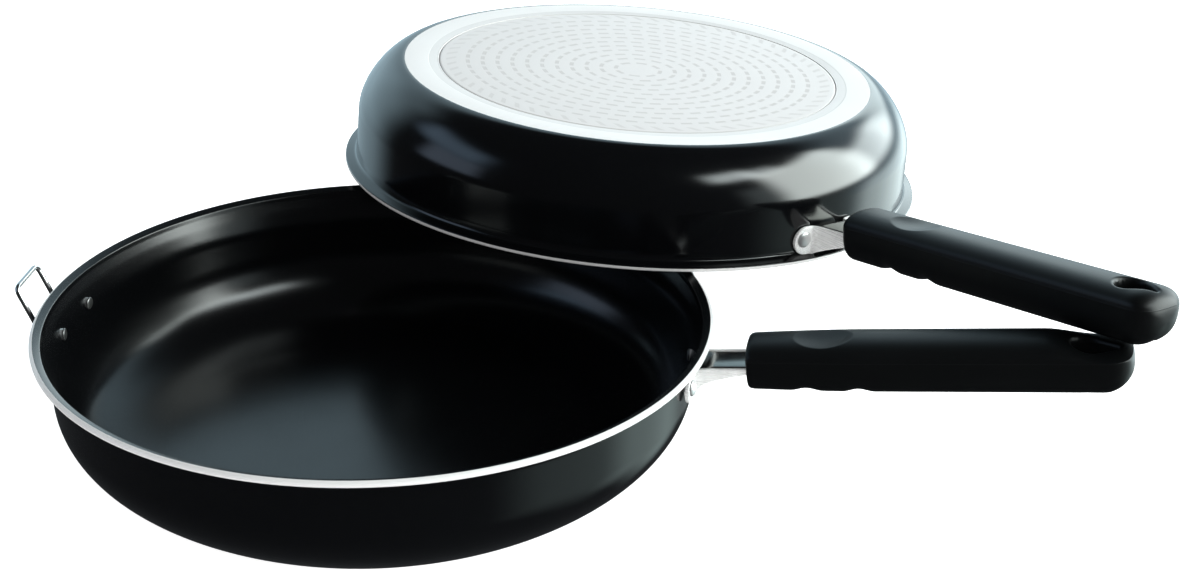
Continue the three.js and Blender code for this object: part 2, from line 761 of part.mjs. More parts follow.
// The height at which the upper grip's underside just clears the lower grip's crown
function gripRestHeight() {
  lowerPan.updateMatrixWorld(true);
  upperPan.updateMatrixWorld(true);
  const lowerAxis = lowerHandle.axis.matrixWorld.clone().invert();
  const edge = gripWidth / 2;
  let height = 0;
  for (let i = 0; i < samples; i += 1) {
    const at = (i / samples) * upperGripLength;
    for (let k = -acrossSteps; k <= acrossSteps; k += 1) {
      const across = (k / acrossSteps) * edge;
      const under = gripHeight(upperGrip, at, across, false);
      const low = new THREE.Vector3(at, across, under).applyMatrix4(upperHandle.axis.matrixWorld);
      const place = low.clone().setZ(lowerHandleHeight).applyMatrix4(lowerAxis);
      const over = place.x > 0 && place.x < lowerGripLength && Math.abs(place.y) < edge;
      const crown = over ? gripHeight(lowerGrip, place.x, place.y, true) : 0;
      if (over) height = Math.max(height, lowerHandleHeight + crown - place.z - low.z);
    }
  }
  return height + fitGap;
}

upperPan.position.z = Math.max(rimRestHeight(), gripRestHeight());

const flipPan = new THREE.Group();
flipPan.add(lowerPan, upperPan);

export default flipPan;
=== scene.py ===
"""Double sided flip pan, dressed for a studio picture.

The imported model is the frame. Every piece that shows is a surface worked out with numpy from the sizes
below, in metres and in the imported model's own frame: +Z up, the lower pan's base on the origin, its
handle along +X and its wire bail on -X. The upper pan lies upside down across the lower rim.
"""
import math

import bpy
import numpy as np
from bpy.props import FloatProperty, FloatVectorProperty, PointerProperty
from mathutils import Matrix, Vector


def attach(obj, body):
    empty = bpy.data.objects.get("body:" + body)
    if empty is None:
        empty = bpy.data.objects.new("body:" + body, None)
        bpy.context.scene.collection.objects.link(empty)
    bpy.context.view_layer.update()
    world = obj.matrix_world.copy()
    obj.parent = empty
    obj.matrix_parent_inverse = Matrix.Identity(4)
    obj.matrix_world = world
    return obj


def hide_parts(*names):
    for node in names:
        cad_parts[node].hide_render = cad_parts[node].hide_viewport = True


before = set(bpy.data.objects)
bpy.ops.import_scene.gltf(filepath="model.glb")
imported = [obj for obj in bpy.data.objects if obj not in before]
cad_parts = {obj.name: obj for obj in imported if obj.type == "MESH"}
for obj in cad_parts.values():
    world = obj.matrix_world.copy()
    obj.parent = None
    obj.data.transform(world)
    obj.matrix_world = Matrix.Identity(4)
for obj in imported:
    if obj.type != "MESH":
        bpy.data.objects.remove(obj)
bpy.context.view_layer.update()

bl_info = {
    "name": "Flip pan",
    "version": (1, 0, 0),
    "blender": (4, 5, 0),
    "location": "3D View > Sidebar > Flip pan",
    "description": "Dresses a double sided flip pan piece by piece and sets its studio",
    "category": "Object",
}


# Sizes and colours that a user would change

def length(default, description):
    return FloatProperty(description=description, default=default, min=0.0, unit="LENGTH", precision=5)


def height(default, description):
    return FloatProperty(description=description, default=default, unit="LENGTH", precision=5)


def angle(degrees, description):
    return FloatProperty(description=description, default=math.radians(degrees), subtype="ANGLE")


def share(default, description):
    return FloatProperty(description=description, default=default, min=0.0, soft_max=1.0, subtype="FACTOR")


def amount(default, description):
    return FloatProperty(description=description, default=default, min=0.0)


def colour(default, description):
    return FloatVectorProperty(
        description=description, default=default, size=3, min=0.0, max=1.0, subtype="COLOR",
    )


def position(default, description):
    return FloatVectorProperty(description=description, default=default, size=3, subtype="TRANSLATION")


class LowerPanSizes(bpy.types.PropertyGroup):
    """The deep pan that stands open."""
    rim_radius: length(0.129, "Outside of the rolled rim")
    depth: length(0.056, "From the base to the rim's crest")
    wall_radius: length(0.123, "Outside of the straight wall")
    wall: length(0.003, "Thickness of the wall")
    wall_start: length(0.034, "Height where the shoulder becomes the wall")
    wall_lean: length(0.0012, "How far the wall opens from there to its top")
    base_radius: length(0.092, "Outside of the flat base")
    base: length(0.0065, "Thickness of the base")
    floor_radius: length(0.082, "Flat part of the cooking surface")
    disc_radius: length(0.078, "Steel disc inlaid in the base")
    disc: length(0.001, "Thickness of the steel disc")


class UpperPanSizes(bpy.types.PropertyGroup):
    """The shallow pan that lies upside down, measured from its rim towards its base."""
    rim_radius: length(0.1218, "Outside of the lip")
    depth: length(0.0450, "From the rim to the base, outside")
    wall_radius: length(0.1172, "Outside of the straight wall")
    wall: length(0.0023, "Thickness of the wall")
    wall_start: length(0.022, "Height where the wall becomes the shoulder")
    base_radius: length(0.0989, "Outside of the flat base")
    base: length(0.004, "Thickness of the base")
    floor_radius: length(0.092, "Flat part of the cooking surface")
    disc_radius: length(0.0842, "Steel disc inlaid in the base")
    disc: length(0.0006, "Thickness of the steel disc")
    lip: length(0.002, "Height of the lip")
    spread: length(0.184714, "From the lower pan's axis to the upper one's")
    azimuth: angle(68.1, "Direction from the lower pan to the upper one")
    rest_height: height(0.0502025, "Height of the middle of the upper rim")
    tilt: angle(6.0, "How far the upper pan leans")
    tilt_azimuth: angle(51.6, "Direction towards which it leans")
    handle_azimuth: angle(-38.5, "Direction of the upper handle")


class GripSizes(bpy.types.PropertyGroup):
    """The two moulded grips. The lower one has a neck and a crown that falls away under the upper one."""
    width: length(0.024, "Widest, at the parting line")
    crown: length(0.0055, "Above the parting line")
    body: length(0.015, "Below the parting line")
    front_round: length(0.0025, "Rounding of the front edge")
    end_round: length(0.011, "Rounding of the end")
    neck_length: length(0.040, "How far the neck runs from the front")
    fall_start: length(0.033, "From the end to where the crown starts to fall")
    fall_end: length(0.009, "From the end to where the crown has fallen")
    dimple_place: length(0.028, "Middle of the thumb dimple")
    dimple_length: length(0.022, "Along the grip")
    dimple_width: length(0.016, "Across the grip")
    dimple_depth: length(0.0016, "At its middle")
    scallop_length: length(0.0125, "Each finger scallop, along the grip")
    scallop_depth: length(0.0013, "At its middle")
    hole_setback: length(0.017, "From the end to the hanging hole's round end")
    hole_radius: length(0.0062, "Round end of the hanging hole")
    hole_tip: length(0.0115, "From the round end's middle to the pointed tip")
    hole_lip: length(0.0016, "Rounding where the hole meets the surface")
    lower_length: length(0.141, "From the front to the end")
    lower_growth: share(0.035, "How much the grip grows towards its end")
    lower_neck: share(0.085, "How much slimmer the front is")
    lower_fall: share(0.8, "How much of the crown is gone at the end")
    lower_front: length(0.1433, "Lower pan's axis to the grip's front")
    lower_height: height(0.0543, "Height of the lower grip's parting line at its front")
    lower_rise: angle(5.0, "Slope of the lower grip")
    upper_length: length(0.1495, "From the front to the end")
    upper_growth: share(0.06, "How much the grip grows towards its end")
    upper_neck: share(0.0, "How much slimmer the front is")
    upper_fall: share(0.0, "How much of the crown is gone at the end")
    upper_front: length(0.136, "Upper pan's axis to the grip's front")
    upper_height: height(0.0201, "Height above the upper rim")
    upper_rise: angle(5.8, "Slope of the upper grip")


class FittingSizes(bpy.types.PropertyGroup):
    """Brackets, rivets, the hinge with its wire bail, and the hook."""
    strap_width: length(0.018, "Across the bracket")
    strap: length(0.002, "Thickness of the bracket's top")
    strap_drop: length(0.004, "From the grip's parting line to the strap's top")
    sheet: length(0.0016, "Thickness of the side flanges and ears")
    lower_flange: length(0.0023, "Height of a lower flange at the grip")
    upper_flange: length(0.0050, "Height of an upper flange at the grip")
    lower_taper: amount(0.3, "How soon a lower flange slims down, as a power")
    upper_taper: amount(0.85, "How soon an upper flange slims down, as a power")
    seam: length(0.0007, "Dark seam between the strap and a flange")
    ear: length(0.0118, "Height of an ear")
    ear_reach: length(0.0177, "From the bracket's middle to an ear's end")
    rivet_reach: length(0.0134, "From the bracket's middle to a rivet")
    rivet_head: length(0.0032, "Radius of a rivet's head")
    rivet_dome: length(0.0015, "Height of a rivet's head")
    inner_head: length(0.0024, "Radius of a rivet's head inside the pan")
    inner_dome: length(0.0010, "Height of a rivet's head inside the pan")
    rivet_shank: length(0.0022, "Radius of a rivet's shank")
    small_plate_width: length(0.038, "Hinge and hook plates")
    small_plate_height: length(0.009, "Hinge and hook plates")
    small_plate: length(0.0015, "Thickness of the hinge and hook plates")
    small_rivet_reach: length(0.0144, "From a small plate's middle to a rivet")
    hinge_drop: length(0.011, "From the rim's crest to the hinge's axis")
    bail_axis: length(0.1306, "From the pan's axis to the bail's")
    barrel_radius: length(0.0023, "Outside of the hinge's barrel")
    barrel_bore: length(0.00135, "Inside of the hinge's barrel")
    barrel_length: length(0.015, "Along the hinge's axis")
    wire: length(0.001, "Radius of the bail's wire")
    bail_width: length(0.022, "Across the bail, between wire centres")
    bail_length: length(0.018, "From its axle to its outer bar")
    bail_corner: length(0.0034, "Rounding of the bail's corners")
    bail_rise: angle(65.0, "How far the bail stands up")
    hook_plate: height(0.0096, "Middle of the hook's plate above the upper rim")
    hook_arm: height(0.0047, "Underside of the hook's arm above the upper rim")
    hook_width: length(0.016, "Across the hook")
    hook_reach: length(0.1356, "From the upper pan's axis to the hook's outer face")
    hook_tongue: length(0.0075, "Height of the upturned tongue")


class FinishColours(bpy.types.PropertyGroup):
    """Colours of the finishes."""
    coating: colour((0.0012, 0.0013, 0.0016), "Non-stick coating")
    ledge: colour((0.0018, 0.0022, 0.0026), "Coating on the rim's ledge")
    bare: colour((0.597, 0.563, 0.558), "Machined aluminium under the base")
    edge: colour((0.66, 0.65, 0.65), "Bare metal along the rims")
    disc: colour((0.535, 0.500, 0.495), "Perforated steel disc")
    steel: colour((0.62, 0.62, 0.59), "Polished steel fittings")
    # The strap, the flanges and the ears are one pressed steel: the strap's colour is painted dark as its shade and
    # dark reflections, and the flanges' and ears' colour is painted near white as the light on them.
    strap: colour((0.36, 0.36, 0.34), "Dark polished steel between the side flanges")
    flange: colour((0.90, 0.90, 0.89), "Bright side flanges and ears")
    rivet: colour((0.86, 0.87, 0.87), "Rivet heads")
    # The heads inside the pans are the same rivets as the bright outer heads, painted dark as the shade inside the
    # pans.
    inner_rivet: colour((0.16, 0.16, 0.16), "Dull rivet heads inside the pans")
    wire: colour((0.52, 0.52, 0.52), "Drawn wire")
    grip: colour((0.0016, 0.0019, 0.0021), "Moulded grips")
    zinc: colour((0.52, 0.53, 0.55), "Screws inside the grips")


class StudioSettings(bpy.types.PropertyGroup):
    """Camera, floor and light."""
    camera_place: position((0.256667, -0.925513, 0.518462), "Where the camera stands")
    lens: amount(84.028, "Focal length in millimetres on a 36 mm wide sensor")
    floor_glow: amount(0.93, "Light that the floor itself gives, so that it stays white")
    backdrop: amount(0.85, "Brightness of the white backdrop in reflections")
    right_box: amount(11.0, "Brightness of the large soft box on the right")
    right_box_end: amount(8.5, "Brightness of that box's far upper end")
    right_box_top: amount(6.0, "Brightness of that box's upper edge")
    right_box_side: amount(0.9, "Brightness of that box's far side")
    back_box: amount(6.0, "Brightness of the soft box at the back, on the right")
    back_strip: amount(2.4, "Brightness of the low strip at the back")
    left_sky: amount(1.1, "Brightness of the blue light high on the left")
    left_wall: amount(0.4, "Brightness of the wall on the left")
    left_box: amount(1.0, "Brightness of the small soft box on the left")
    table_back: amount(2.2, "Brightness of the table behind the pans")
    table_right: amount(0.45, "Brightness of the table on the right")
    table_corner: amount(0.9, "Brightness of the table at the back, on the right")
    daylight: amount(0.42, "Even light on everything that isn't glossy")
    front_fill: amount(5.0, "Power of the soft light beside the camera, in watts")
    top_fill: amount(3.0, "Power of the soft light above, in watts")


# Outlines and surfaces

class Surface:
    """Points of a closed surface, its four and three sided faces, and the finish number of each face."""

    def __init__(self, points, quads, triangles, quad_finish=None, triangle_finish=None):
        self.points = np.asarray(points, float).reshape(-1, 3)
        self.quads = np.asarray(quads, int).reshape(-1, 4)
        self.triangles = np.asarray(triangles, int).reshape(-1, 3)
        self.quad_finish = np.zeros(len(self.quads), int) if quad_finish is None else quad_finish
        self.triangle_finish = np.zeros(len(self.triangles), int) if triangle_finish is None else triangle_finish

    def volume(self):
        """The sum over faces of a . (b x c) / 6, which is negative where the faces point in."""
        a, b, c, d = (self.points[self.quads[:, k]] for k in range(4))
        total = np.einsum("ij,ij->", a, np.cross(b, c)) + np.einsum("ij,ij->", a, np.cross(c, d))
        a, b, c = (self.points[self.triangles[:, k]] for k in range(3))
        return (total + np.einsum("ij,ij->", a, np.cross(b, c))) / 6

    def dressed(self, finish):
        """Gives every face one finish number."""
        self.quad_finish = np.full(len(self.quads), finish)
        self.triangle_finish = np.full(len(self.triangles), finish)
        return self

    def facing_out(self):
        """Turns every face over where they point in."""
        if self.volume() < 0:
            self.quads = self.quads[:, ::-1]
            self.triangles = self.triangles[:, ::-1]
        return self

    def moved(self, matrix):
        """Carries every point by a matrix."""
        rows = np.array(matrix)
        self.points = self.points @ rows[:3, :3].T + rows[:3, 3]
        return self

    def joined(self, *others):
        """This surface and the others as one, each keeping its own points."""
        result = self
        for other in others:
            shift = len(result.points)
            result = Surface(
                np.vstack([result.points, other.points]),
                np.vstack([result.quads, other.quads + shift]),
                np.vstack([result.triangles, other.triangles + shift]),
                np.concatenate([result.quad_finish, other.quad_finish]),
                np.concatenate([result.triangle_finish, other.triangle_finish]),
            )
        return result


def grid_faces(rows, columns, wrap_rows=False):
    """Faces between neighbouring rows of a grid whose columns close on themselves, row by row."""
    first = np.arange(rows if wrap_rows else rows - 1)[:, None]
    second = (first + 1) % rows
    left = np.arange(columns)[None, :]
    right = (left + 1) % columns
    return np.stack(
        [first * columns + left, first * columns + right, second * columns + right, second * columns + left], -1,
    ).reshape(-1, 4)


def fan(ring, pole):
    """Triangles from a ring of points to one pole."""
    return np.stack([ring, np.roll(ring, -1), np.full(len(ring), pole)], -1)


def end_fans(rows, columns):
    """The fans that close a grid's first and last row, whose two poles are the points after the grid's own."""
    ring, count = np.arange(columns), rows * columns
    return np.vstack([fan(ring, count)[:, ::-1], fan(ring + count - columns, count + 1)])


def side_of(path):
    """The unit normals of a path in its plane, (-dy, dx) / |d|."""
    way = np.gradient(path, axis=0)
    way /= np.linalg.norm(way, axis=1)[:, None]
    return np.stack([-way[:, 1], way[:, 0]], -1)


def rounded(corners, steps=5):
    """An outline with rounded corners. A corner is (x, y, reach, finish of the side after it). It becomes the
    curve (1 - t)^2 A + 2 t (1 - t) C + t^2 B, where A and B lie `reach` along the sides from the corner C."""
    corners = list(corners)
    places = np.array([corner[:2] for corner in corners], float)
    points, finishes = [], []
    for i, (x, y, reach, finish) in enumerate(corners):
        before, after = max(i - 1, 0), min(i + 1, len(corners) - 1)
        if reach == 0 or i in (0, len(corners) - 1):
            points.append((x, y))
            finishes.append(finish)
            continue
        corner = places[i]
        back, on = places[before] - corner, places[after] - corner
        a = corner + back / np.linalg.norm(back) * min(reach, np.linalg.norm(back) * 0.49)
        b = corner + on / np.linalg.norm(on) * min(reach, np.linalg.norm(on) * 0.49)
        for t in np.linspace(0, 1, steps):
            points.append(tuple((1 - t) ** 2 * a + 2 * t * (1 - t) * corner + t ** 2 * b))
            finishes.append(corners[before][3] if t < 0.5 else finish)
    return np.array(points), np.array(finishes)


def bezier(start, first, second, end, steps):
    """The cubic curve (1 - t)^3 P0 + 3 t (1 - t)^2 P1 + 3 t^2 (1 - t) P2 + t^3 P3, without its two ends."""
    t = np.linspace(0, 1, steps + 2)[1:-1, None]
    p0, p1, p2, p3 = (np.array(p, float) for p in (start, first, second, end))
    return (1 - t) ** 3 * p0 + 3 * t * (1 - t) ** 2 * p1 + 3 * t ** 2 * (1 - t) * p2 + t ** 3 * p3


def turned(outline, finishes=None, steps=256):
    """A surface of revolution, (r cos a, r sin a, z). The outline of (r, z) points runs from the axis back to the
    axis, where it closes in a pole, or else it closes on itself as a ring."""
    outline = np.asarray(outline, float)
    finishes = np.zeros(len(outline), int) if finishes is None else np.asarray(finishes)
    a = np.linspace(0, 2 * math.pi, steps, endpoint=False)[None, :]
    on_axis = outline[0, 0] == 0
    rings = outline[1:-1] if on_axis else outline
    r, z = rings[:, :1], rings[:, 1:]
    points = np.stack([r * np.cos(a), r * np.sin(a), z + 0 * a], -1).reshape(-1, 3)
    quads = grid_faces(len(rings), steps, wrap_rows=not on_axis)
    if not on_axis:
        return Surface(points, quads, [], np.repeat(finishes, steps)).facing_out()
    triangles = end_fans(len(rings), steps)
    points = np.vstack([points, [[0, 0, outline[0, 1]], [0, 0, outline[-1, 1]]]])
    return Surface(
        points, quads, triangles, np.repeat(finishes[1:-2], steps), np.repeat([finishes[0], finishes[-2]], steps),
    ).facing_out()


def carried(points, wrap=False):
    """A section carried along a path: a grid of points, one row for each place on the path. The ends are closed by a
    fan to the row's middle, or wrap joins the last row to the first."""
    points = np.asarray(points, float)
    rows, columns = points.shape[:2]
    quads = grid_faces(rows, columns, wrap_rows=wrap)
    flat = points.reshape(-1, 3)
    if wrap:
        return Surface(flat, quads, []).facing_out()
    flat = np.vstack([flat, points[0].mean(0), points[-1].mean(0)])
    return Surface(flat, quads, end_fans(rows, columns)).facing_out()


def rounded_section(half_width, half_height, corner, steps=4):
    """A rectangle with round corners about zero, as points (x, y): each corner is a quarter circle."""
    corner = min(corner, half_width, half_height)
    quarter = np.linspace(0, math.pi / 2, steps)
    turns = np.concatenate([quarter + k * math.pi / 2 for k in range(4)])
    x_side = np.repeat([1, -1, -1, 1], steps)
    y_side = np.repeat([1, 1, -1, -1], steps)
    x = x_side * (half_width - corner) + corner * np.cos(turns)
    y = y_side * (half_height - corner) + corner * np.sin(turns)
    return np.stack([x, y], -1)


def resampled(path, step):
    """A path's points at about even steps along it."""
    path = np.asarray(path, float)
    along = np.concatenate([[0], np.cumsum(np.linalg.norm(np.diff(path, axis=0), axis=1))])
    places = np.linspace(0, along[-1], max(int(along[-1] / step), 2) + 1)
    return np.stack([np.interp(places, along, path[:, k]) for k in range(path.shape[1])], -1), places


def bent_strip(path, half_width, half_thickness, corner, step=0.0005):
    """A flat strip bent along a path in the X-Z plane, with its width along Y: point = path + n * h + Y * w, where n
    is the path's normal in its plane."""
    places, _ = resampled(path, step)
    normal = side_of(places)
    section = rounded_section(half_width, half_thickness, corner)
    x = places[:, None, 0] + normal[:, None, 0] * section[None, :, 1]
    z = places[:, None, 1] + normal[:, None, 1] * section[None, :, 1]
    return np.stack([x, np.broadcast_to(section[None, :, 0], x.shape), z], -1)


def standing_strip(path, low, high, half_thickness, corner):
    """A strip that stands on edge along a path in plan: point = path + n * h, at heights from low to high."""
    rows = []
    for place, side, bottom, top in zip(path, side_of(path), low, high):
        section = rounded_section(half_thickness, max((top - bottom) / 2, 1e-5), corner)
        rows.append(np.stack([
            place[0] + side[0] * section[:, 0], place[1] + side[1] * section[:, 0], (top + bottom) / 2 + section[:, 1],
        ], -1))
    return np.array(rows)


# Meshes and pieces

def to_mesh(name, surface):
    """A surface as a Blender mesh, written with foreach_set."""
    mesh = bpy.data.meshes.new(name)
    quads, triangles = surface.quads, surface.triangles
    loops = np.concatenate([quads.ravel(), triangles.ravel()]).astype(np.int32)
    starts = np.concatenate([np.arange(len(quads)) * 4, len(quads) * 4 + np.arange(len(triangles)) * 3])
    mesh.vertices.add(len(surface.points))
    mesh.vertices.foreach_set("co", surface.points.astype(np.float32).ravel())
    mesh.loops.add(len(loops))
    mesh.loops.foreach_set("vertex_index", loops)
    mesh.polygons.add(len(starts))
    mesh.polygons.foreach_set("loop_start", starts.astype(np.int32))
    finish = np.concatenate([surface.quad_finish, surface.triangle_finish]).astype(np.int32)
    mesh.polygons.foreach_set("material_index", finish)
    mesh.update(calc_edges=True)
    mesh.validate()
    return mesh


def less(mesh, cutter):
    """The first mesh less the second, by Blender's exact Boolean."""
    body = bpy.data.objects.new("cut body", mesh)
    tool = bpy.data.objects.new("cut tool", cutter)
    for thing in (body, tool):
        bpy.context.scene.collection.objects.link(thing)
    modifier = body.modifiers.new("cut", "BOOLEAN")
    modifier.operation = "DIFFERENCE"
    modifier.solver = "EXACT"
    modifier.object = tool
    graph = bpy.context.evaluated_depsgraph_get()
    result = bpy.data.meshes.new_from_object(body.evaluated_get(graph))
    for thing in (body, tool):
        bpy.data.objects.remove(thing)
    return result


def add_piece(name, mesh, matrix, finishes, body, replaces, crease=35):
    """Puts a mesh in place and dresses it. `place` keeps each point's own coordinates, in the piece's frame, for the
    patterns of its finishes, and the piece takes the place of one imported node."""
    count = len(mesh.vertices)
    own = np.empty(count * 3, np.float32)
    mesh.vertices.foreach_get("co", own)
    attribute = mesh.attributes.new("place", "FLOAT_VECTOR", "POINT")
    attribute.data.foreach_set("vector", own)
    mesh.transform(matrix)
    mesh.name = name
    mesh.polygons.foreach_set("use_smooth", np.ones(len(mesh.polygons), bool))
    mesh.set_sharp_from_angle(angle=math.radians(crease))
    for finish in finishes:
        mesh.materials.append(finish)
    piece = bpy.data.objects.new(name, mesh)
    bpy.context.scene.collection.objects.link(piece)
    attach(piece, body)
    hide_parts(replaces)
    return piece


# Places

def turn_z(radians):
    return Matrix.Rotation(radians, 4, "Z")


def upper_frame(sizes):
    """The upper pan's place: turned over, across the lower rim, leaning a little."""
    lean = Vector((math.cos(sizes.tilt_azimuth), math.sin(sizes.tilt_azimuth), 0))
    place = Matrix.Translation((
        sizes.spread * math.cos(sizes.azimuth), sizes.spread * math.sin(sizes.azimuth), sizes.rest_height,
    ))
    return place @ Matrix.Rotation(sizes.tilt, 4, Vector((-lean.y, lean.x, 0)))


class Handle:
    """One pan's handle: the pan's frame, turned so that X is along the handle, the pan's sizes, and the distance,
    height and slope of the grip's front."""

    def __init__(self, scene, pan, place):
        self.pan, self.place, self.sizes = pan, place, getattr(scene, f"{pan}_pan")
        grips = scene.pan_grips
        self.front, self.up, self.rise = (getattr(grips, f"{pan}_{key}") for key in ("front", "height", "rise"))
        self.drop = scene.pan_fittings.strap_drop

    def grip_frame(self):
        """The grip's own place, with its front at zero."""
        return self.place @ Matrix.Translation((self.front, 0, self.up)) @ Matrix.Rotation(-self.rise, 4, "Y")

    def strap_top(self, x):
        """Height of the strap's top at a distance from the pan's axis."""
        return self.up - self.drop + (x - self.front) * math.tan(self.rise)


def both_handles(scene):
    """The lower pan's handle along X and the upper one's, turned with its pan."""
    upper = scene.upper_pan
    return [
        Handle(scene, "lower", Matrix.Identity(4)),
        Handle(scene, "upper", upper_frame(upper) @ turn_z(upper.handle_azimuth)),
    ]


# Finishes, written as sums on sockets

class Value:
    """One output of a finish's nodes. Arithmetic on it adds Math nodes."""

    def __init__(self, finish, socket):
        self.finish = finish
        self.socket = socket

    def maths(self, operation, *values):
        return self.finish.node("ShaderNodeMath", {"operation": operation}, dict(enumerate(values)))

    def __add__(self, other):
        return self.maths("ADD", self, other)

    def __radd__(self, other):
        return self.maths("ADD", other, self)

    def __sub__(self, other):
        return self.maths("SUBTRACT", self, other)

    def __rsub__(self, other):
        return self.maths("SUBTRACT", other, self)

    def __mul__(self, other):
        return self.maths("MULTIPLY", self, other)

    def __rmul__(self, other):
        return self.maths("MULTIPLY", other, self)

    def __truediv__(self, other):
        return self.maths("DIVIDE", self, other)

    def __rtruediv__(self, other):
        return self.maths("DIVIDE", other, self)

    def __abs__(self):
        return self.maths("ABSOLUTE", self)

    def __mod__(self, other):
        return self.maths("FLOORED_MODULO", self, other)

    def floor(self):
        return self.maths("FLOOR", self)

    def fraction(self):
        return self.maths("FRACT", self)

    def root(self):
        return self.maths("SQRT", self)

    def rising(self, low, high):
        """0 below low, 1 above high and smooth between."""
        return self.finish.node(
            "ShaderNodeMapRange", {"interpolation_type": "SMOOTHSTEP"},
            {"Value": self, "From Min": low, "From Max": high},
        )

    def band(self, low, high, soft):
        """1 from low to high, with soft edges."""
        return self.rising(low - soft, low + soft) * (1 - self.rising(high - soft, high + soft))


class Finish:
    """The nodes of one material or of the world."""

    def __init__(self, tree):
        self.tree = tree
        self.tree.nodes.clear()

    def node(self, kind, settings=None, values=None, output=0):
        """Adds a node: its settings first, then the values or links of its sockets."""
        node = self.tree.nodes.new(kind)
        for key, setting in (settings or {}).items():
            if key == "stops":
                self.ramp(node.color_ramp, setting)
            else:
                setattr(node, key, setting)
        for key, value in (values or {}).items():
            if isinstance(value, Value):
                self.tree.links.new(value.socket, node.inputs[key])
            else:
                node.inputs[key].default_value = value
        return Value(self, node.outputs[output]) if len(node.outputs) else None

    def ramp(self, ramp, stops):
        while len(ramp.elements) > len(stops):
            ramp.elements.remove(ramp.elements[-1])
        for i, (position, tone) in enumerate(stops):
            element = ramp.elements[i] if i < len(ramp.elements) else ramp.elements.new(position)
            element.position = position
            element.color = tone

    def place(self):
        """The piece's own coordinates, in metres."""
        return self.node("ShaderNodeAttribute", {"attribute_name": "place"}, output="Vector")

    def parts(self, vector):
        """A vector's three numbers."""
        node = self.node("ShaderNodeSeparateXYZ", None, {0: vector})
        return [Value(self, socket) for socket in node.socket.node.outputs]

    def vector(self, x, y, z):
        return self.node("ShaderNodeCombineXYZ", None, {0: x, 1: y, 2: z})

    def stretched(self, vector, x, y, z):
        return self.node("ShaderNodeVectorMath", {"operation": "MULTIPLY"}, {0: vector, 1: (x, y, z)})

    def noise(self, vector, scale, detail=2.0, rough=0.5):
        return self.node("ShaderNodeTexNoise", None, {
            "Vector": vector, "Scale": scale, "Detail": detail, "Roughness": rough,
        })

    def blend(self, factor, first, second):
        """One colour to another by a factor."""
        return self.node("ShaderNodeMix", {"data_type": "RGBA"}, {0: factor, 6: first, 7: second}, output=2)

    def relief(self, height_value, strength, distance):
        return self.node("ShaderNodeBump", None, {"Strength": strength, "Distance": distance, "Height": height_value})


def opaque(tone, scale=1.0):
    """A colour made brighter or darker, as a socket's four numbers."""
    return (tone[0] * scale, tone[1] * scale, tone[2] * scale, 1.0)


def material(name, make):
    """The named material, made once by a function that returns the shader's values."""
    if name in bpy.data.materials:
        return bpy.data.materials[name]
    made = bpy.data.materials.new(name)
    made.use_nodes = True
    finish = Finish(made.node_tree)
    shader = finish.node("ShaderNodeBsdfPrincipled", None, make(finish))
    finish.node("ShaderNodeOutputMaterial", None, {"Surface": shader})
    return made


def coating(tone, name, rough=0.2, grain=0.1):
    """Sprayed non-stick: near black, semi-gloss, with a fine orange peel and faint speckle."""
    def make(finish):
        place = finish.place()
        fine = finish.noise(place, 1500.0, 3.0, 0.6)
        broad = finish.noise(place, 60.0, 2.0)
        speck = finish.noise(place, 4200.0, 1.0).rising(0.62, 0.78)
        return {
            "Base Color": finish.blend(speck, opaque(tone), opaque(tone, 3.2)),
            "Roughness": rough - 0.03 + broad * 0.06 + speck * 0.08,
            "Specular IOR Level": 0.5,
            "Normal": finish.relief(fine, grain, 0.00006),
        }
    return material(name, make)


def machined(tone, name, rough=0.3, groove=(0.0, 0.0)):
    """Bare aluminium with fine turned rings about the pan's axis, and a shallow groove between two radii: a bump sinks
    it, and its bottom and its two edges are painted darker as the shade in it.
    """
    edge_width = 0.0004

    def make(finish):
        x, y, z = finish.parts(finish.place())
        radius = (x * x + y * y).root()
        rings = finish.noise(finish.vector(radius, 0.0, z), 2600.0, 2.0)
        cloud = finish.noise(finish.place(), 45.0, 2.0)
        start, end = groove
        bottom = radius.band(start, end, 0.00015)
        painted_groove_edge_shade = radius.band(end - edge_width, end, 0.0001) + radius.band(start, start + edge_width, 0.0001)
        body = finish.blend(rings, opaque(tone, 0.95), opaque(tone, 1.01))
        return {
            # Painted shade: the groove's bottom and its two edges are darker in colour, as the shade in the groove.
            "Base Color": finish.blend(bottom * 0.36 + painted_groove_edge_shade * 0.2, body, opaque(tone, 0.6)),
            "Metallic": 0.1,
            "Roughness": rough + cloud * 0.08 + rings * 0.06,
            "Normal": finish.relief(rings * 0.1 - bottom, 0.3, 0.0002),
        }
    return material(name, make)


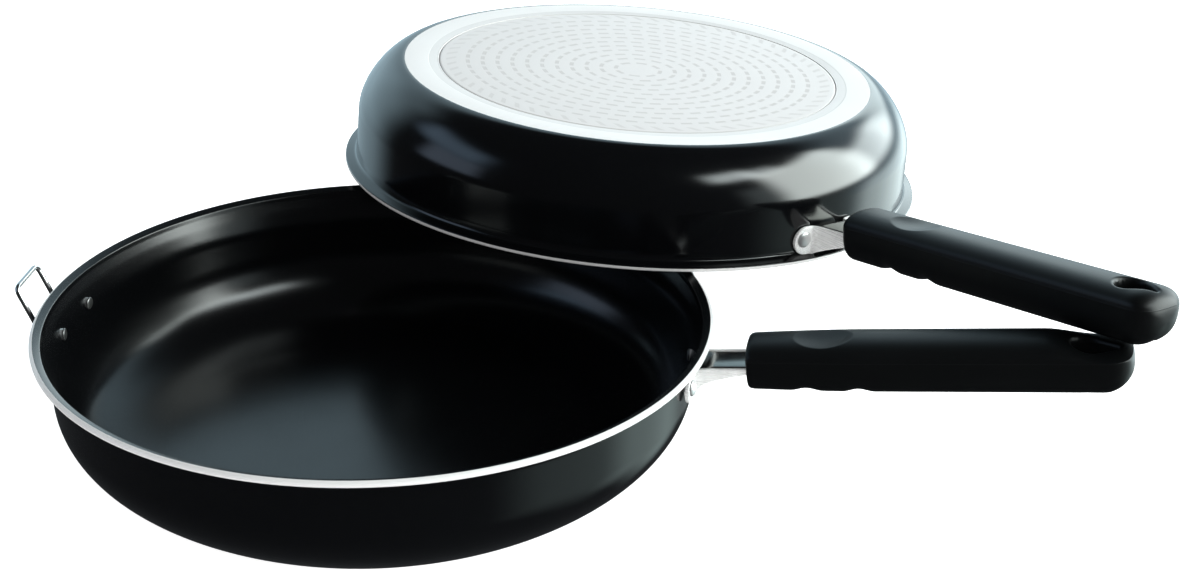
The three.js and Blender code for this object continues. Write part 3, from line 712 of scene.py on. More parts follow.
def perforated(tone, name, radius_limit):
    """The steel disc: rings of short slots pressed through it, with a ring of slanted ticks round its edge, both sunk
    by a bump and painted darker as the shade in them.
    """
    pitch, slot_length = 0.0063, 0.0074
    last_ring, tick_start, tick_end = radius_limit - 0.009, radius_limit - 0.0068, radius_limit - 0.0026

    def make(finish):
        place = finish.place()
        x, y, _ = finish.parts(place)
        radius = (x * x + y * y).root()
        turn = finish.node("ShaderNodeMath", {"operation": "ARCTAN2"}, {0: y, 1: x}) / (2 * math.pi)
        ring = (radius / pitch).floor()
        across = (radius / pitch).fraction() - 0.5
        count = ((ring + 0.5) * (2 * math.pi * pitch / slot_length)).floor()
        along = (turn * count + (ring % 2.0) * 0.5).fraction() - 0.5
        slot = (1 - abs(along).rising(0.26, 0.36)) * (1 - abs(across).rising(0.10, 0.17))
        inside = 1 - radius.rising(last_ring - 0.0002, last_ring + 0.0002)
        middle = radius.rising(0.0055, 0.0062)
        ticks = abs((turn * 66.0 + radius * 110.0).fraction() - 0.5)
        tick = (1 - ticks.rising(0.10, 0.22)) * radius.band(tick_start, tick_end, 0.0005) * 0.7
        pits = finish.node("ShaderNodeMath", {"operation": "MAXIMUM"}, {0: slot * inside * middle, 1: tick})
        rings = finish.noise(finish.vector(radius, 0.0, 0.0), 2200.0, 2.0)
        cloud = finish.noise(place, 70.0, 3.0)
        body = finish.blend(cloud, opaque(tone, 0.97), opaque(tone, 1.03))
        return {
            # Painted shade: the slots and ticks are darker in colour, as the shade inside them.
            "Base Color": finish.blend(pits * (0.12 + cloud * 0.12), body, opaque(tone, 0.45)),
            "Metallic": 0.12,
            "Roughness": 0.36 + cloud * 0.08 + pits * 0.15,
            "Normal": finish.relief(rings * 0.05 - pits, 0.22, 0.00018),
        }
    return material(name, make)


def brushed(tone, name, rough=0.24, metal=0.8):
    """Polished sheet steel with faint scratches along it."""
    def make(finish):
        place = finish.place()
        scratch = finish.noise(finish.stretched(place, 60.0, 2600.0, 2600.0), 1.0, 2.0)
        cloud = finish.noise(place, 180.0, 2.0)
        return {
            "Base Color": finish.blend(cloud, opaque(tone, 0.9), opaque(tone, 1.04)),
            "Metallic": metal,
            "Roughness": rough + scratch * 0.1 + cloud * 0.05,
            "Normal": finish.relief(scratch, 0.12, 0.00003),
        }
    return material(name, make)


def moulded(tone, name):
    """Moulded phenolic: satin black with a fine grain, flow marks and the mould's parting line, whose small ridge is a
    bump and whose lighter colour is a painted highlight.
    """
    def make(finish):
        place = finish.place()
        _, _, z = finish.parts(place)
        grain = finish.noise(place, 1700.0, 3.0, 0.6)
        flow = finish.noise(finish.stretched(place, 26.0, 90.0, 90.0), 1.0, 3.0)
        line = 1 - abs(z).rising(0.00008, 0.00026)
        body = finish.blend(flow, opaque(tone, 0.8), opaque(tone, 1.25))
        return {
            # Painted highlight: the parting line is lighter in colour along z = 0, on top of its bump.
            "Base Color": finish.blend(line * 0.3, body, opaque(tone, 3.0)),
            "Roughness": 0.33 + flow * 0.07 + grain * 0.05,
            "Specular IOR Level": 0.24,
            "Normal": finish.relief(line * 0.9 + grain * 0.22, 0.5, 0.00016),
        }
    return material(name, make)


def plated(tone, name):
    """Zinc plate on small screws and nuts, patterned on Object coordinates."""
    def make(finish):
        where = finish.node("ShaderNodeTexCoord", output="Object")
        cloud = finish.noise(where, 700.0, 3.0)
        return {
            "Base Color": finish.blend(cloud, opaque(tone, 0.75), opaque(tone, 1.1)),
            "Metallic": 1.0,
            "Roughness": 0.28 + cloud * 0.2,
        }
    return material(name, make)


# The pans

BASE_RING, OUTSIDE, EDGE, LEDGE, INSIDE = range(5)

# Between a disc, a plate or an ear and what it lies against
GAP = 0.0003
# A base's groove, from and to, outside its disc, where the base is painted darker as the shade in it
GROOVE = (0.0007, 0.0046)
# The rounding where the coating meets the bare base
LOWER_BASE_ROUND, UPPER_BASE_ROUND = 0.0006, 0.0004
# How the shoulders bend: the shares of the way across and of the way up at which their curves' inner points lie
LOWER_SHOULDER, LOWER_BOWL = (0.45, 0.235, 0.5), (0.58, 0.66)
UPPER_SHOULDER, UPPER_BOWL = (0.43, 0.44), (0.52, 0.46)

# The corners of the lower rim, from the wall up, over the rim and down inside: what the radius starts from, how far
# out from there, how far below the crest, the rounding, and the finish of the side after the corner
LOWER_RIM = [
    ("wall", 0.0, 0.0058, 0.0016, OUTSIDE),
    ("wall", 0.0016, 0.0040, 0.0010, OUTSIDE),
    ("rim", -0.0022, 0.0029, 0.0004, OUTSIDE),
    ("rim", -0.0008, 0.0026, 0.0004, EDGE),
    ("rim", 0.0, 0.0020, 0.0006, EDGE),
    ("rim", 0.0, 0.0009, 0.0006, EDGE),
    ("rim", -0.0010, 0.0001, 0.0005, EDGE),
    ("rim", -0.0013, 0.0, 0.0002, LEDGE),
    ("rim", -0.0042, 0.0010, 0.0004, INSIDE),
    ("rim", -0.0047, 0.0026, 0.0004, INSIDE),
    ("inner", 0.0023, 0.0064, 0.0012, INSIDE),
    ("inner", 0.0, 0.0125, 0.0030, INSIDE),
]
# The same for the upper rim, from inside out, with heights above its edge and those past the lip above the lip
UPPER_RIM = [
    ("inner", 0.0, 0.0, 0.0012, INSIDE, True),
    ("wall", 0.0, 0.0002, 0.0008, LEDGE, False),
    ("rim", -0.0011, 0.0, 0.0003, EDGE, False),
    ("rim", 0.0, 0.0004, 0.0004, EDGE, False),
    ("rim", 0.0, 0.0016, 0.0002, OUTSIDE, False),
    ("rim", 0.0, 0.0, 0.0007, OUTSIDE, True),
    ("wall", 0.0004, 0.0012, 0.0009, OUTSIDE, True),
    ("wall", 0.0, 0.0040, 0.0012, OUTSIDE, True),
]


def pan_finishes(colours, prefix, disc_radius):
    """The finishes of a pan's body, in the order of their numbers."""
    return [
        machined(colours.bare, prefix + "_machined_base", 0.28, [disc_radius + edge for edge in GROOVE]),
        coating(colours.coating, "outside_coating", 0.13, 0.05),
        machined(colours.edge, "bare_edge", 0.3),
        coating(colours.ledge, "ledge_coating", 0.24, 0.08),
        coating(colours.coating, "inside_coating", 0.21, 0.1),
    ]


def spans(curve, finish):
    """A curve's points as corners without rounding."""
    return [(r, z, 0, finish) for r, z in curve]


def lower_outline(s):
    """The lower pan's half section, from the recess in its base round the rim to the middle of its floor."""
    radii = {"rim": s.rim_radius, "wall": s.wall_radius, "inner": s.wall_radius - s.wall}
    inner = radii["inner"]
    base_edge, wall_foot = (s.base_radius, 0.0), (s.wall_radius - s.wall_lean, s.wall_start)
    across, low, high = LOWER_SHOULDER
    outer = bezier(
        base_edge, (s.base_radius + (s.wall_radius - s.base_radius) * across, s.wall_start * low),
        (s.wall_radius - s.wall_lean * 2, s.wall_start * high), wall_foot, steps=26,
    )
    floor_edge, wall_head = (s.floor_radius, s.base), (inner, s.wall_start)
    down, out = LOWER_BOWL
    inside = bezier(
        wall_head, (inner, s.wall_start - (s.wall_start - s.base) * down),
        (s.floor_radius + (inner - s.floor_radius) * out, s.base), floor_edge, steps=30,
    )
    return rounded([
        (0, s.disc + GAP, 0, BASE_RING),
        (s.disc_radius + GAP, s.disc + GAP, GAP, BASE_RING),
        (s.disc_radius + GAP, 0, GAP, BASE_RING),
        (*base_edge, LOWER_BASE_ROUND, OUTSIDE),
        *spans(outer, OUTSIDE),
        (*wall_foot, 0, OUTSIDE),
        *[(radii[start] + more, s.depth - drop, reach, finish) for start, more, drop, reach, finish in LOWER_RIM],
        (*wall_head, 0, INSIDE),
        *spans(inside, INSIDE),
        (*floor_edge, 0, INSIDE),
        (0, s.base, 0, INSIDE),
    ])


def upper_outline(s):
    """The upper pan's half section in its own frame, with its rim at zero and its base above it."""
    radii = {"rim": s.rim_radius, "wall": s.wall_radius, "inner": s.wall_radius - s.wall}
    inner, floor, recess = radii["inner"], s.depth - s.base, s.depth - s.disc - GAP
    wall_head, base_edge = (s.wall_radius, s.wall_start), (s.base_radius, s.depth)
    up, out = UPPER_SHOULDER
    outer = bezier(
        wall_head, (s.wall_radius, s.wall_start + (s.depth - s.wall_start) * up),
        (s.base_radius + (s.wall_radius - s.base_radius) * out, s.depth), base_edge, steps=26,
    )
    floor_edge, inner_head = (s.floor_radius, floor), (inner, s.wall_start)
    out, up = UPPER_BOWL
    inside = bezier(
        floor_edge, (s.floor_radius + (inner - s.floor_radius) * out, floor),
        (inner, s.wall_start + (floor - s.wall_start) * up), inner_head, steps=24,
    )
    return rounded([
        (0, floor, 0, INSIDE),
        (*floor_edge, 0, INSIDE),
        *spans(inside, INSIDE),
        (*inner_head, 0, INSIDE),
        *[
            (radii[start] + more, (s.lip if from_lip else 0) + rise, reach, finish)
            for start, more, rise, reach, finish, from_lip in UPPER_RIM
        ],
        (*wall_head, 0, OUTSIDE),
        *spans(outer, OUTSIDE),
        (*base_edge, UPPER_BASE_ROUND, BASE_RING),
        (s.disc_radius + GAP, s.depth, GAP, BASE_RING),
        (s.disc_radius + GAP, recess, GAP, BASE_RING),
        (0, recess, 0, BASE_RING),
    ])


def disc_surface(radius, thickness, edge=0.0006, rise=0.0002):
    """An inlaid disc with a dressed edge: its outer face at zero, its body above."""
    outline, finishes = rounded([
        (0, 0, 0, 0), (radius * 0.5, 0, 0, 0), (radius - edge, 0, rise, 0), (radius, rise, rise / 2, 0),
        (radius, thickness, 0, 0), (0, thickness, 0, 0),
    ])
    return turned(outline, finishes)


def add_pan(scene, pan, sizes, outline, place, disc_place):
    """A pan's body, and the disc inlaid in its base. The pan is `lower` or `upper`."""
    colours = scene.pan_finishes
    body = to_mesh(f"{pan}_pan", turned(*outline))
    dress = pan_finishes(colours, pan, sizes.disc_radius)
    add_piece(f"{pan}_pan", body, place, dress, f"{pan}_pan", f"{pan}_pan_shell")
    disc = to_mesh(f"{pan}_base_disc", disc_surface(sizes.disc_radius, sizes.disc))
    steel = perforated(colours.disc, f"{pan}_disc_steel", sizes.disc_radius)
    add_piece(
        f"{pan}_base_disc", disc, disc_place, [steel], f"{pan}_pan", f"{pan}_induction_disc",
    )


class LowerPanBuilder(bpy.types.Operator):
    """Build the lower pan's body and its base disc"""
    bl_idname = "flip_pan.lower_pan"
    bl_label = "Lower pan"

    def execute(self, context):
        sizes = context.scene.lower_pan
        add_pan(context.scene, "lower", sizes, lower_outline(sizes), Matrix.Identity(4), Matrix.Identity(4))
        return {"FINISHED"}


class UpperPanBuilder(bpy.types.Operator):
    """Build the upper pan's body and its base disc"""
    bl_idname = "flip_pan.upper_pan"
    bl_label = "Upper pan"

    def execute(self, context):
        sizes = context.scene.upper_pan
        place = upper_frame(sizes)
        flipped = Matrix.Translation((0, 0, sizes.depth)) @ Matrix.Rotation(math.pi, 4, "X")
        add_pan(context.scene, "upper", sizes, upper_outline(sizes), place, place @ flipped)
        return {"FINISHED"}


# The grips

# Radius of the hanging hole's tip
HOLE_TIP = 0.0012
# How far apart a grip's sections are, where it is plain, at its front and at the hanging hole, and how far the front
# runs
PLAIN_STEP, FRONT_STEP, HOLE_STEP = 0.0008, 0.0005, 0.0004
FRONT_RUN = 0.046
# The powers of a grip's section above and below the parting line, and of its end's closing
CROWN_POWER, BODY_POWER, END_POWER, END_POWER_BELOW = 2.2, 2.8, 2.7, 1.8
# The share of the section that a grip's flat front has
FRONT_SHARE = 0.9
# Middles of the finger scallops
SCALLOPS = (0.0216, 0.0408)
# Half the width of the dimple's soft rim, as a share of its size
DIMPLE_RIM = 0.06
# The parts of the section that the hole's lip changes, as the sine of the turn round it
LIP_ABOVE, LIP_BELOW = 0.3, -0.55
# How far before the hole the close sections start
HOLE_LEAD = 0.004
# The last section lies a little short of the point where the end closes
END_SHARE = 0.985


def drop_distance(x, y, radius, reach, tip=HOLE_TIP):
    """Signed distance to the hanging hole's outline, the hull of a circle at zero and a small one near its tip.
    Between them it is the distance to their common tangent, x cos q + |y| sin q - r."""
    far = reach - tip
    q = math.acos((radius - tip) / far)
    across = np.abs(y)
    side = x * math.cos(q) + across * math.sin(q) - radius
    along = -x * math.sin(q) + across * math.cos(q)
    near_round = along > 0
    near_tip = along < -far * math.sin(q)
    return np.where(near_round, np.hypot(x, y) - radius, np.where(near_tip, np.hypot(x - far, y) - tip, side))


def drop_outline(radius, reach, tip=HOLE_TIP):
    """The hanging hole's outline as points: two arcs joined by their tangents."""
    far = reach - tip
    q = math.acos((radius - tip) / far)
    big = np.linspace(q, 2 * math.pi - q, 49)
    small = np.linspace(-q, q, 17)
    return np.vstack([
        np.stack([radius * np.cos(big), radius * np.sin(big)], -1),
        np.stack([far + tip * np.cos(small), tip * np.sin(small)], -1),
    ])


def grip_surface(g, size, growth, neck, fall):
    """A superellipse |y/a|^n + |z/b|^n = 1 carried along X, with a low crown above the parting line and a deeper body
    below it. It grows towards its end, loses the share neck * (1 - x / run)^1.5 at its front, closes at its end,
    rounder below, and its crown falls by a smooth step. The dimple, the finger scallops and the rounded lip of the
    hanging hole are added to its height."""
    end = size - g.end_round
    fine = size - g.hole_setback - g.hole_radius - HOLE_LEAD
    x = np.concatenate([
        g.front_round * (1 - np.cos(np.linspace(0, math.pi / 2, 9))),
        np.arange(g.front_round + FRONT_STEP, FRONT_RUN, FRONT_STEP),
        np.arange(FRONT_RUN, fine, PLAIN_STEP),
        np.arange(fine, end, HOLE_STEP),
        end + g.end_round * np.sin(np.linspace(0, 1.0, 34) * math.pi / 2 * END_SHARE),
    ])[:, None]
    turn = np.linspace(0, 2 * math.pi, 176, endpoint=False)[None, :]
    across, up = np.cos(turn), np.sin(turn)
    level = up > 0
    power = np.where(level, 2 / CROWN_POWER, 2 / BODY_POWER)
    y = np.sign(across) * np.abs(across) ** power * g.width / 2
    z = np.sign(up) * np.abs(up) ** power * np.where(level, g.crown, g.body)
    front = FRONT_SHARE + (1 - FRONT_SHARE) * np.sqrt(1 - np.clip(1 - x / g.front_round, 0, 1) ** 2)
    taper = (1 + growth * np.clip(x / end, 0, 1)) * (1 - neck * np.clip(1 - x / g.neck_length, 0, 1) ** 1.5)
    closing = np.clip((x - end) / g.end_round, 0, 1)
    bow = END_POWER - (END_POWER - END_POWER_BELOW) * np.clip(-up, 0, 1)
    scale = front * taper * (1 - closing ** bow) ** (1 / bow)
    middle = (g.crown - g.body) / 2
    y = y * scale
    z = middle + (z - middle) * scale
    x = x + 0 * y
    past = np.clip((x - size + g.fall_start) / (g.fall_start - g.fall_end), 0, 1)
    z = np.where(z > 0, z * (1 - fall * past ** 2 * (3 - 2 * past)), z)
    dimple = ((x - g.dimple_place) / (g.dimple_length / 2)) ** 2 + (y / (g.dimple_width / 2)) ** 2
    rim = np.clip(1 + DIMPLE_RIM - dimple, 0, None) ** 2 / (4 * DIMPLE_RIM)
    hollow = np.where(dimple < 1 - DIMPLE_RIM, 1 - dimple, rim)
    z = z - np.where(level, g.dimple_depth * hollow, 0)
    for place in SCALLOPS:
        wave = np.clip(np.abs(x - place) / (g.scallop_length / 2), 0, 1)
        deep = np.clip(-z / g.body, 0, 1) ** 2
        z = z + g.scallop_depth * deep * (1 + np.cos(wave * math.pi)) / 2
    gap = drop_distance(x - (size - g.hole_setback), y, g.hole_radius, g.hole_tip)
    lip = np.clip(1 - gap / g.hole_lip, 0, 1)
    sink = g.hole_lip * (1 - np.sqrt(1 - lip ** 2))
    z = z - np.where(up > LIP_ABOVE, sink, 0) + np.where(up < LIP_BELOW, sink, 0)
    return carried(np.stack([x, y, z], -1))


def hole_cutter(g, size):
    """A prism of the hanging hole's outline, longer than the grip is deep."""
    outline = drop_outline(g.hole_radius, g.hole_tip)
    outline[:, 0] += size - g.hole_setback
    heights = np.linspace(-g.body * 1.5, g.crown * 2, 13)
    return carried(np.array([np.column_stack([outline, np.full(len(outline), z)]) for z in heights]))


class GripBuilder(bpy.types.Operator):
    """Build the two moulded grips"""
    bl_idname = "flip_pan.grips"
    bl_label = "Grips"

    def execute(self, context):
        scene = context.scene
        g = scene.pan_grips
        phenolic = moulded(scene.pan_finishes.grip, "moulded_grip")
        for handle in both_handles(scene):
            pan = handle.pan
            shape = [getattr(g, f"{pan}_{key}") for key in ("length", "growth", "neck", "fall")]
            blank = to_mesh("blank", grip_surface(g, *shape))
            drilled = less(blank, to_mesh("cutter", hole_cutter(g, shape[0])))
            add_piece(
                f"{pan}_grip", drilled, handle.grip_frame(), [phenolic], f"{pan}_pan",
                f"{pan}_handle_grip", crease=50,
            )
        return {"FINISHED"}


# Brackets, rivets, hinge and hook

# How far the strap and the flanges run into the grip, and how far out the strap still follows the wall's curve
STRAP_IN, FLANGE_IN = 0.002, 0.001
STRAP_FADE = 0.012
# The bends where the strap and the ears leave the wall, and the rounding of the sheet's edges
STRAP_BEND, EAR_BEND = 0.0036, 0.0034
SHEET_EDGE = 0.0005
# How far down the wall the strap starts, as a share of an ear's height
STRAP_FOOT = 0.7
# How far outside a flange an ear leaves the wall, how far apart the ear's sections are, and how far from the point of
# its round end the first one lies
EAR_START, EAR_STEP, EAR_TIP = 0.004, 0.0004, 0.0001
# From the strap's top to the rivets
RIVET_DROP = 0.005
# The tongue under the hinge's barrel: half its thickness, the rounding of its edges and its bend, how far outside
# the wall it starts and bends, and how far below the hinge's axis it starts
TONGUE_HALF, TONGUE_EDGE, TONGUE_BEND = 0.0006, 0.0003, 0.0014
TONGUE_START, TONGUE_CORNER, TONGUE_DROP = 0.0012, 0.0014, 0.0035
# The small plates: the rounding of their edges, and how far round to the point of their ends they are drawn
PLATE_EDGE, PLATE_SHARE = 0.0004, 0.995
# How far outside the wall the hook's arm starts, and its bends at the wall and at the tongue
HOOK_START = 0.0010
HOOK_BENDS = (0.0016, 0.0022)
# The bail's bends at its axle, and how far apart its sections are
BAIL_BEND, BAIL_STEP = 0.0004, 0.0005


def strap_surface(f, handle):
    """The bracket's top: a strip that climbs the wall, bends outwards and runs into the grip."""
    wall_radius = handle.sizes.wall_radius
    face = wall_radius + GAP + f.strap / 2
    high = handle.strap_top(face) - f.strap / 2
    end = handle.front + STRAP_IN
    path, _ = rounded([
        (face, high - f.ear * STRAP_FOOT, 0, 0),
        (face, high, STRAP_BEND, 0),
        (end, handle.strap_top(end) - f.strap / 2, 0, 0),
    ], steps=12)
    points = bent_strip(path, f.strap_width / 2 - f.sheet - f.seam, f.strap / 2, SHEET_EDGE)
    bow = wall_radius - np.sqrt(wall_radius ** 2 - points[..., 1] ** 2)
    fade = np.clip(1 - (points[..., 0] - face) / STRAP_FADE, 0, 1)
    points[..., 0] -= bow * fade
    return carried(points)


def ear_surface(f, handle, side):
    """One ear with its flange: a strip on edge that lies round the wall, turns outwards and tapers to the grip. The
    ear's free end is a half circle."""
    flange, power = getattr(f, f"{handle.pan}_flange"), getattr(f, f"{handle.pan}_taper")
    ring = handle.sizes.wall_radius + GAP + f.sheet / 2
    inner_y = f.strap_width / 2 - f.sheet / 2
    turns = np.linspace(f.ear_reach / ring, (inner_y + EAR_START) / ring, 24)
    around = np.stack([ring * np.cos(turns), ring * np.sin(turns)], -1)
    bend = [*spans(around, 0), (ring, inner_y, EAR_BEND, 0), (handle.front + FLANGE_IN, inner_y, 0, 0)]
    path, _ = rounded(bend, steps=10)
    path, along = resampled(path, EAR_STEP)
    ear_top = handle.strap_top(ring)
    radius = f.ear / 2
    middle = ear_top - radius
    taper_start = f.ear_reach - inner_y
    taper = np.clip((along - taper_start) / (along[-1] - taper_start), 0, 1)
    line_top = handle.strap_top(path[:, 0])
    round_end = np.sqrt(1 - np.clip(1 - (along + EAR_TIP) / radius, 0, 1) ** 2)
    high = np.where(taper > 0, line_top, ear_top)
    low = np.where(taper > 0, high - f.ear + (f.ear - flange) * taper ** power, ear_top - f.ear)
    high = np.where(along < radius, middle + radius * round_end, high)
    low = np.where(along < radius, middle - radius * round_end, low)
    path[:, 1] *= side
    return carried(standing_strip(path, low, high, f.sheet / 2, SHEET_EDGE))


def rivet_surface(f, sizes, plate, edge=0.0003):
    """A rivet along X: a domed head inside the wall, a shank, and a domed head outside the plate. A dome is
    r = R sin t, h = H cos t on a thin cylindrical edge."""
    inside, outside = sizes.wall_radius - sizes.wall, sizes.wall_radius + GAP + plate
    t = np.linspace(0, math.pi / 2, 12)
    first = np.stack([f.inner_head * np.sin(t), inside - edge - (f.inner_dome - edge) * np.cos(t)], -1)
    last = np.stack([f.rivet_head * np.sin(t[::-1]), outside + edge + (f.rivet_dome - edge) * np.cos(t[::-1])], -1)
    shank = [[f.inner_head, inside], [f.rivet_shank, inside], [f.rivet_shank, outside], [f.rivet_head, outside]]
    outline = np.vstack([first, shank, last])
    outline[0, 0] = outline[-1, 0] = 0
    finishes = np.where(np.arange(len(outline)) <= len(t), 1, 0)
    return turned(outline, finishes, steps=48).moved(Matrix.Rotation(math.pi / 2, 4, "Y"))


def add_rivets(scene, name, replaced, place, sizes, plate, reach, up, body):
    """Two rivets through the wall of a pan of these sizes, one on each side of a plate."""
    metals = [
        brushed(scene.pan_finishes.rivet, "rivet_metal", 0.16, 0.6),
        # Painted shade: the inner heads are a darker copy of the rivet metal.
        brushed(scene.pan_finishes.inner_rivet, "inner_rivet_metal", 0.26, 0.9),
    ]
    for side, word in ((1, "left"), (-1, "right")):
        mesh = to_mesh(name, rivet_surface(scene.pan_fittings, sizes, plate))
        seat = place @ turn_z(side * math.asin(reach / sizes.wall_radius)) @ Matrix.Translation((0, 0, up))
        add_piece(f"{name}_{word}", mesh, seat, metals, body, f"{replaced}_{word}")


class BracketBuilder(bpy.types.Operator):
    """Build the two handle brackets and their rivets"""
    bl_idname = "flip_pan.brackets"
    bl_label = "Brackets"

    def execute(self, context):
        scene = context.scene
        f = scene.pan_fittings
        # Lit and shaded copies of one steel: the strap is painted dark as painted shade, the flanges and ears near
        # white as painted light.
        steels = [
            brushed(scene.pan_finishes.strap, "strap_steel", 0.12, 1.0),
            brushed(scene.pan_finishes.flange, "bright_steel", 0.2, 0.25),
        ]
        for handle in both_handles(scene):
            pan, body, sizes = handle.pan, f"{handle.pan}_pan", handle.sizes
            ears = [ear_surface(f, handle, side).dressed(1) for side in (1, -1)]
            mesh = to_mesh(f"{pan}_bracket", strap_surface(f, handle).joined(*ears))
            add_piece(
                f"{pan}_bracket", mesh, handle.place, steels, body, f"{pan}_handle_bracket",
            )
            add_rivets(
                scene, f"{pan}_handle_rivet", f"{pan}_bracket_rivet", handle.place, sizes, f.sheet, f.rivet_reach,
                handle.strap_top(sizes.wall_radius) - RIVET_DROP, body,
            )
        return {"FINISHED"}


def small_plate_surface(f, wall_radius, up):
    """A plate with half round ends, wrapped on the wall."""
    ring = wall_radius + GAP + f.small_plate / 2
    half, radius = f.small_plate_width / 2, f.small_plate_height / 2
    along = half * np.sin(np.linspace(-math.pi / 2, math.pi / 2, 97) * PLATE_SHARE)
    from_end = half - np.abs(along)
    tall = radius * np.sqrt(1 - np.clip(1 - from_end / radius, 0, 1) ** 2)
    path = np.stack([ring * np.cos(along / ring), ring * np.sin(along / ring)], -1)
    return carried(standing_strip(path, up - tall, up + tall, f.small_plate / 2, PLATE_EDGE))


def add_small_bracket(scene, name, place, pan, up, *more):
    """A small plate with what else belongs to its bracket, and its two rivets."""
    f, sizes = scene.pan_fittings, getattr(scene, pan)
    steel = brushed(scene.pan_finishes.steel, "polished_steel", 0.16, 1.0)
    mesh = to_mesh(name, small_plate_surface(f, sizes.wall_radius, up).joined(*more))
    add_piece(name, mesh, place, [steel], pan, f"{name}_bracket")
    add_rivets(
        scene, f"{name}_rivet_head", f"{name}_rivet", place, sizes, f.small_plate, f.small_rivet_reach, up, pan,
    )


class HingeBuilder(bpy.types.Operator):
    """Build the hinge bracket, its rivets and the wire bail"""
    bl_idname = "flip_pan.hinge"
    bl_label = "Hinge"

    def execute(self, context):
        scene = context.scene
        f, lower = scene.pan_fittings, scene.lower_pan
        up = lower.depth - f.hinge_drop
        side, axis = turn_z(math.pi), Matrix.Translation((f.bail_axis, 0, up))
        outline = rounded_section((f.barrel_radius - f.barrel_bore) / 2, f.barrel_length / 2, TONGUE_EDGE)
        outline[:, 0] += (f.barrel_radius + f.barrel_bore) / 2
        barrel = turned(outline, steps=40).moved(axis @ Matrix.Rotation(math.pi / 2, 4, "X"))
        under = up - f.barrel_radius + TONGUE_HALF
        path, _ = rounded([
            (lower.wall_radius + TONGUE_START, up - TONGUE_DROP, 0, 0),
            (lower.wall_radius + TONGUE_CORNER, under, TONGUE_BEND, 0),
            (f.bail_axis, under, 0, 0),
        ], steps=8)
        tongue = carried(bent_strip(path, f.barrel_length / 2, TONGUE_HALF, TONGUE_EDGE))
        add_small_bracket(scene, "hinge", side, "lower_pan", up, barrel, tongue)
        self.add_bail(scene, f, side @ axis @ Matrix.Rotation(-f.bail_rise, 4, "Y"))
        return {"FINISHED"}

    def add_bail(self, scene, f, place):
        """A circle of wire carried round a rectangle with rounded corners, in the bail's own plane."""
        half = f.bail_width / 2
        path, _ = rounded([
            (0, 0, 0, 0),
            (0, half, BAIL_BEND, 0),
            (f.bail_length, half, f.bail_corner, 0),
            (f.bail_length, -half, f.bail_corner, 0),
            (0, -half, BAIL_BEND, 0),
            (0, 0, 0, 0),
        ], steps=9)
        path, _ = resampled(path, BAIL_STEP)
        path = path[:-1]
        way = np.roll(path, -1, axis=0) - np.roll(path, 1, axis=0)
        way /= np.linalg.norm(way, axis=1)[:, None]
        normal = np.stack([-way[:, 1], way[:, 0]], -1)
        turn = np.linspace(0, 2 * math.pi, 20, endpoint=False)
        out, up = f.wire * np.cos(turn), f.wire * np.sin(turn)
        points = np.stack([
            path[:, None, 0] + normal[:, None, 0] * out, path[:, None, 1] + normal[:, None, 1] * out,
            np.broadcast_to(up, (len(path), len(turn))),
        ], -1)
        wire = brushed(scene.pan_finishes.wire, "drawn_wire", 0.12, 1.0)
        mesh = to_mesh("bail", carried(points, wrap=True))
        add_piece("bail", mesh, place, [wire], "wire_bail", "wire_bail")


class HookBuilder(bpy.types.Operator):
    """Build the hook opposite the upper handle and its rivets"""
    bl_idname = "flip_pan.hook"
    bl_label = "Hook"

    def execute(self, context):
        scene = context.scene
        f, upper = scene.pan_fittings, scene.upper_pan
        side = upper_frame(upper) @ turn_z(upper.handle_azimuth + math.pi)
        back = upper.wall_radius + HOOK_START
        face = f.hook_reach - f.small_plate / 2
        arm_up = f.hook_arm + f.small_plate / 2
        path, _ = rounded([
            (back, f.hook_plate, 0, 0),
            (back, arm_up, HOOK_BENDS[0], 0),
            (face, arm_up, HOOK_BENDS[1], 0),
            (face, f.hook_arm + f.hook_tongue, 0, 0),
        ], steps=9)
        arm = carried(bent_strip(path, f.hook_width / 2, f.small_plate / 2, PLATE_EDGE))
        add_small_bracket(scene, "hook", side, "upper_pan", f.hook_plate, arm)
        return {"FINISHED"}


class ScrewFinisher(bpy.types.Operator):
    """Give the screws, washers and nuts inside the grips their plated finish"""
    bl_idname = "flip_pan.screws"
    bl_label = "Screws"

    def execute(self, context):
        zinc = plated(context.scene.pan_finishes.zinc, "zinc_plate")
        for prefix in ("lower", "upper"):
            for part in ("handle_screw", "screw_washer", "screw_nut"):
                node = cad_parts[f"{prefix}_{part}"]
                node.data.materials.clear()
                node.data.materials.append(zinc)
        return {"FINISHED"}


# The studio

# What the gloss reflects. For each setting of brightness: from and to in azimuth and the softness of those edges,
# from and to in height and their softness, all in degrees, and the tone. Azimuth is from +Y towards +X.
REFLECTIONS = {
    "backdrop": (-66, 70, 12, -22, 40, 7, (0.69, 0.96, 1.10)),
    "right_box": (54, 104, 6, -3, 40, 4, (0.93, 1.02, 0.99)),
    "right_box_end": (100, 126, 6, 40, 50, 4, (0.90, 1.0, 1.0)),
    "right_box_top": (86, 106, 6, 38, 46, 4, (0.90, 1.0, 1.0)),
    "right_box_side": (104, 120, 6, -3, 26, 6, (0.85, 1.0, 1.02)),
    "left_sky": (-122, -78, 8, 26, 40, 5, (0.70, 1.0, 1.35)),
    "back_box": (24, 60, 9, -1, 22, 5, (0.90, 1.0, 1.0)),
    "back_strip": (-10, 30, 8, 2, 19, 4, (0.88, 1.0, 1.0)),
    "table_back": (10, 62, 9, -27, -9, 5, (0.88, 1.02, 1.02)),
    "left_wall": (-70, -30, 10, -8, 24, 8, (0.70, 1.0, 1.15)),
    "table_right": (60, 112, 14, -46, -4, 12, (0.80, 1.02, 1.0)),
    "table_corner": (26, 66, 10, -42, -24, 7, (0.80, 1.02, 1.0)),
    "left_box": (-124, -94, 5, 6, 25, 4, (0.74, 0.93, 1.22)),
}
# What the gloss sees between them
DARK_ROOM = (0.035, 0.038, 0.041)
WHITE = (1.0, 1.0, 1.0)


